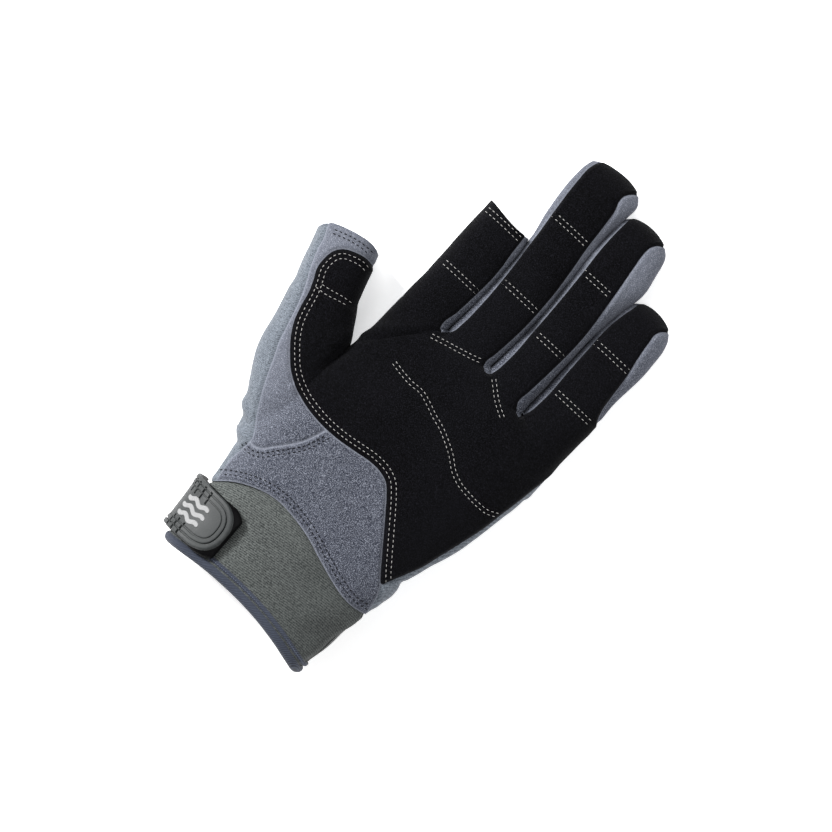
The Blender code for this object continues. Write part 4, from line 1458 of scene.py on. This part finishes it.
# each finish: the function that makes its material, and what it is given after the name
FINISHES = {
    # nap's last three values: painted light towards the thumb's side and the fingertips, pale patches of
    # painted sheen, and the pale seam line, partly wear and partly painted highlight
    "black_suede": (nap, srgb(0, 0, 0), srgb(3, 3, 4), srgb(25, 25, 30), 0.02, 0, 0.1, 0.15),
    "grey_suede": (nap, srgb(26, 28, 36), srgb(62, 65, 75), srgb(135, 139, 150), 0.05, 0.28, 0, 0.55),
    "stretch": (knit, srgb(59, 64, 71), srgb(119, 126, 135), 0.0007, 0.55, 0.0002, 0.85),
    # the neoprene's last value is painted shade towards the little finger's side
    "neoprene": (knit, srgb(34, 37, 37), srgb(97, 101, 99), 0.0008, 1.43, 0.0002, 0.8, 0.35),
    "binding": (knit, srgb(38, 42, 52), srgb(66, 72, 86), 0.0006, 0.75, 0.0002, 0.4),
    "webbing": (knit, srgb(22, 23, 25), srgb(44, 45, 48), 0.0012, 0, 0.0004, 0.2),
    "moulded_rubber": (rubber, srgb(35, 38, 39), srgb(54, 57, 57)),
    # near-black: partly the tab's side wall, partly painted shadow on the cuff
    "foot_rubber": (rubber, srgb(2, 2, 3), srgb(8, 8, 9), 0.08),
    "white_rubber": (rubber, srgb(126, 127, 128), srgb(138, 138, 138)),
    "hook_and_loop": (pile, srgb(8, 8, 9), srgb(38, 39, 42)),
    "white_thread": (thread, srgb(174, 172, 169)),
    "grey_thread": (thread, srgb(18, 19, 25)),
    "blue_thread": (thread, srgb(96, 103, 120)),
}
MADE = {}


def material_of(finish):
    """A finish's material, made when it is first asked for."""
    if finish not in MADE:
        make, *values = FINISHES[finish]
        MADE[finish] = make(finish, *values)
    return MADE[finish]


# ---------------------------------------------------------------- build, skins before the stitches on them
make_hand()
for finger in FINGERS:
    make_finger(finger)
make_thumb()
make_cuff()
make_stitching()
make_binding_stitches()


# ---------------------------------------------------------------- stage
def make_stage():
    material = Nodes("floor")
    mesh = bpy.data.meshes.new("floor")
    mesh.from_pydata([(-3, -3, 0), (3, -3, 0), (3, 3, 0), (-3, 3, 0)], [], [(0, 1, 2, 3)])
    floor = placed("floor", mesh)
    mesh.materials.append(material.principled(Base_Color=(0.95, 0.95, 0.95, 1), Roughness=0.9,
                                              Emission_Color=(1, 1, 1, 1), Emission_Strength=0.45))


IMAGE_UP = Vector((-0.682, 0.731, 0)).normalized()
IMAGE_RIGHT = Vector((IMAGE_UP.y, -IMAGE_UP.x, 0))
LENS, SENSOR = 135, 36
FRAME_WIDTH, FRAME_HEIGHT = 0.3203, 0.021  # the picture's width, at this height above the floor
KEY, FILL, TOP, SKY = 28, 8, 5, 0.45  # the lights' powers
AIM = Vector((0, 0, 0.01))


def make_camera():
    data = bpy.data.cameras.new("camera")
    data.lens, data.sensor_width = LENS, SENSOR
    camera = placed("camera", data)
    distance = FRAME_WIDTH * LENS / SENSOR
    turn = Matrix((IMAGE_RIGHT, IMAGE_UP, Vector((0, 0, 1)))).transposed()
    camera.matrix_world = Matrix.Translation((0, 0, FRAME_HEIGHT + distance)) @ turn.to_4x4()
    bpy.context.scene.camera = camera


def make_light(name, place, size, power):
    data = bpy.data.lights.new(name, "AREA")
    data.size = size
    data.energy = power
    lamp = placed(name, data)
    lamp.location = place
    lamp.rotation_euler = (AIM - place).to_track_quat("-Z", "Y").to_euler()


def make_lights():
    upper_left = (IMAGE_UP - IMAGE_RIGHT).normalized()
    make_light("key", upper_left + Vector((0, 0, 0.85)), 0.35, KEY)
    make_light("fill", IMAGE_UP * -0.4 + IMAGE_RIGHT * 0.9 + Vector((0, 0, 1.1)), 0.9, FILL)
    make_light("top", IMAGE_UP * 0.9 + Vector((0, 0, 1.0)), 0.5, TOP)
    world = bpy.data.worlds.new("studio")
    world.use_nodes = True
    world.node_tree.nodes["Background"].inputs["Color"].default_value = (1, 1, 1, 1)
    world.node_tree.nodes["Background"].inputs["Strength"].default_value = SKY
    bpy.context.scene.world = world
    bpy.context.scene.view_settings.view_transform = "Standard"


make_stage()
make_camera()
make_lights()
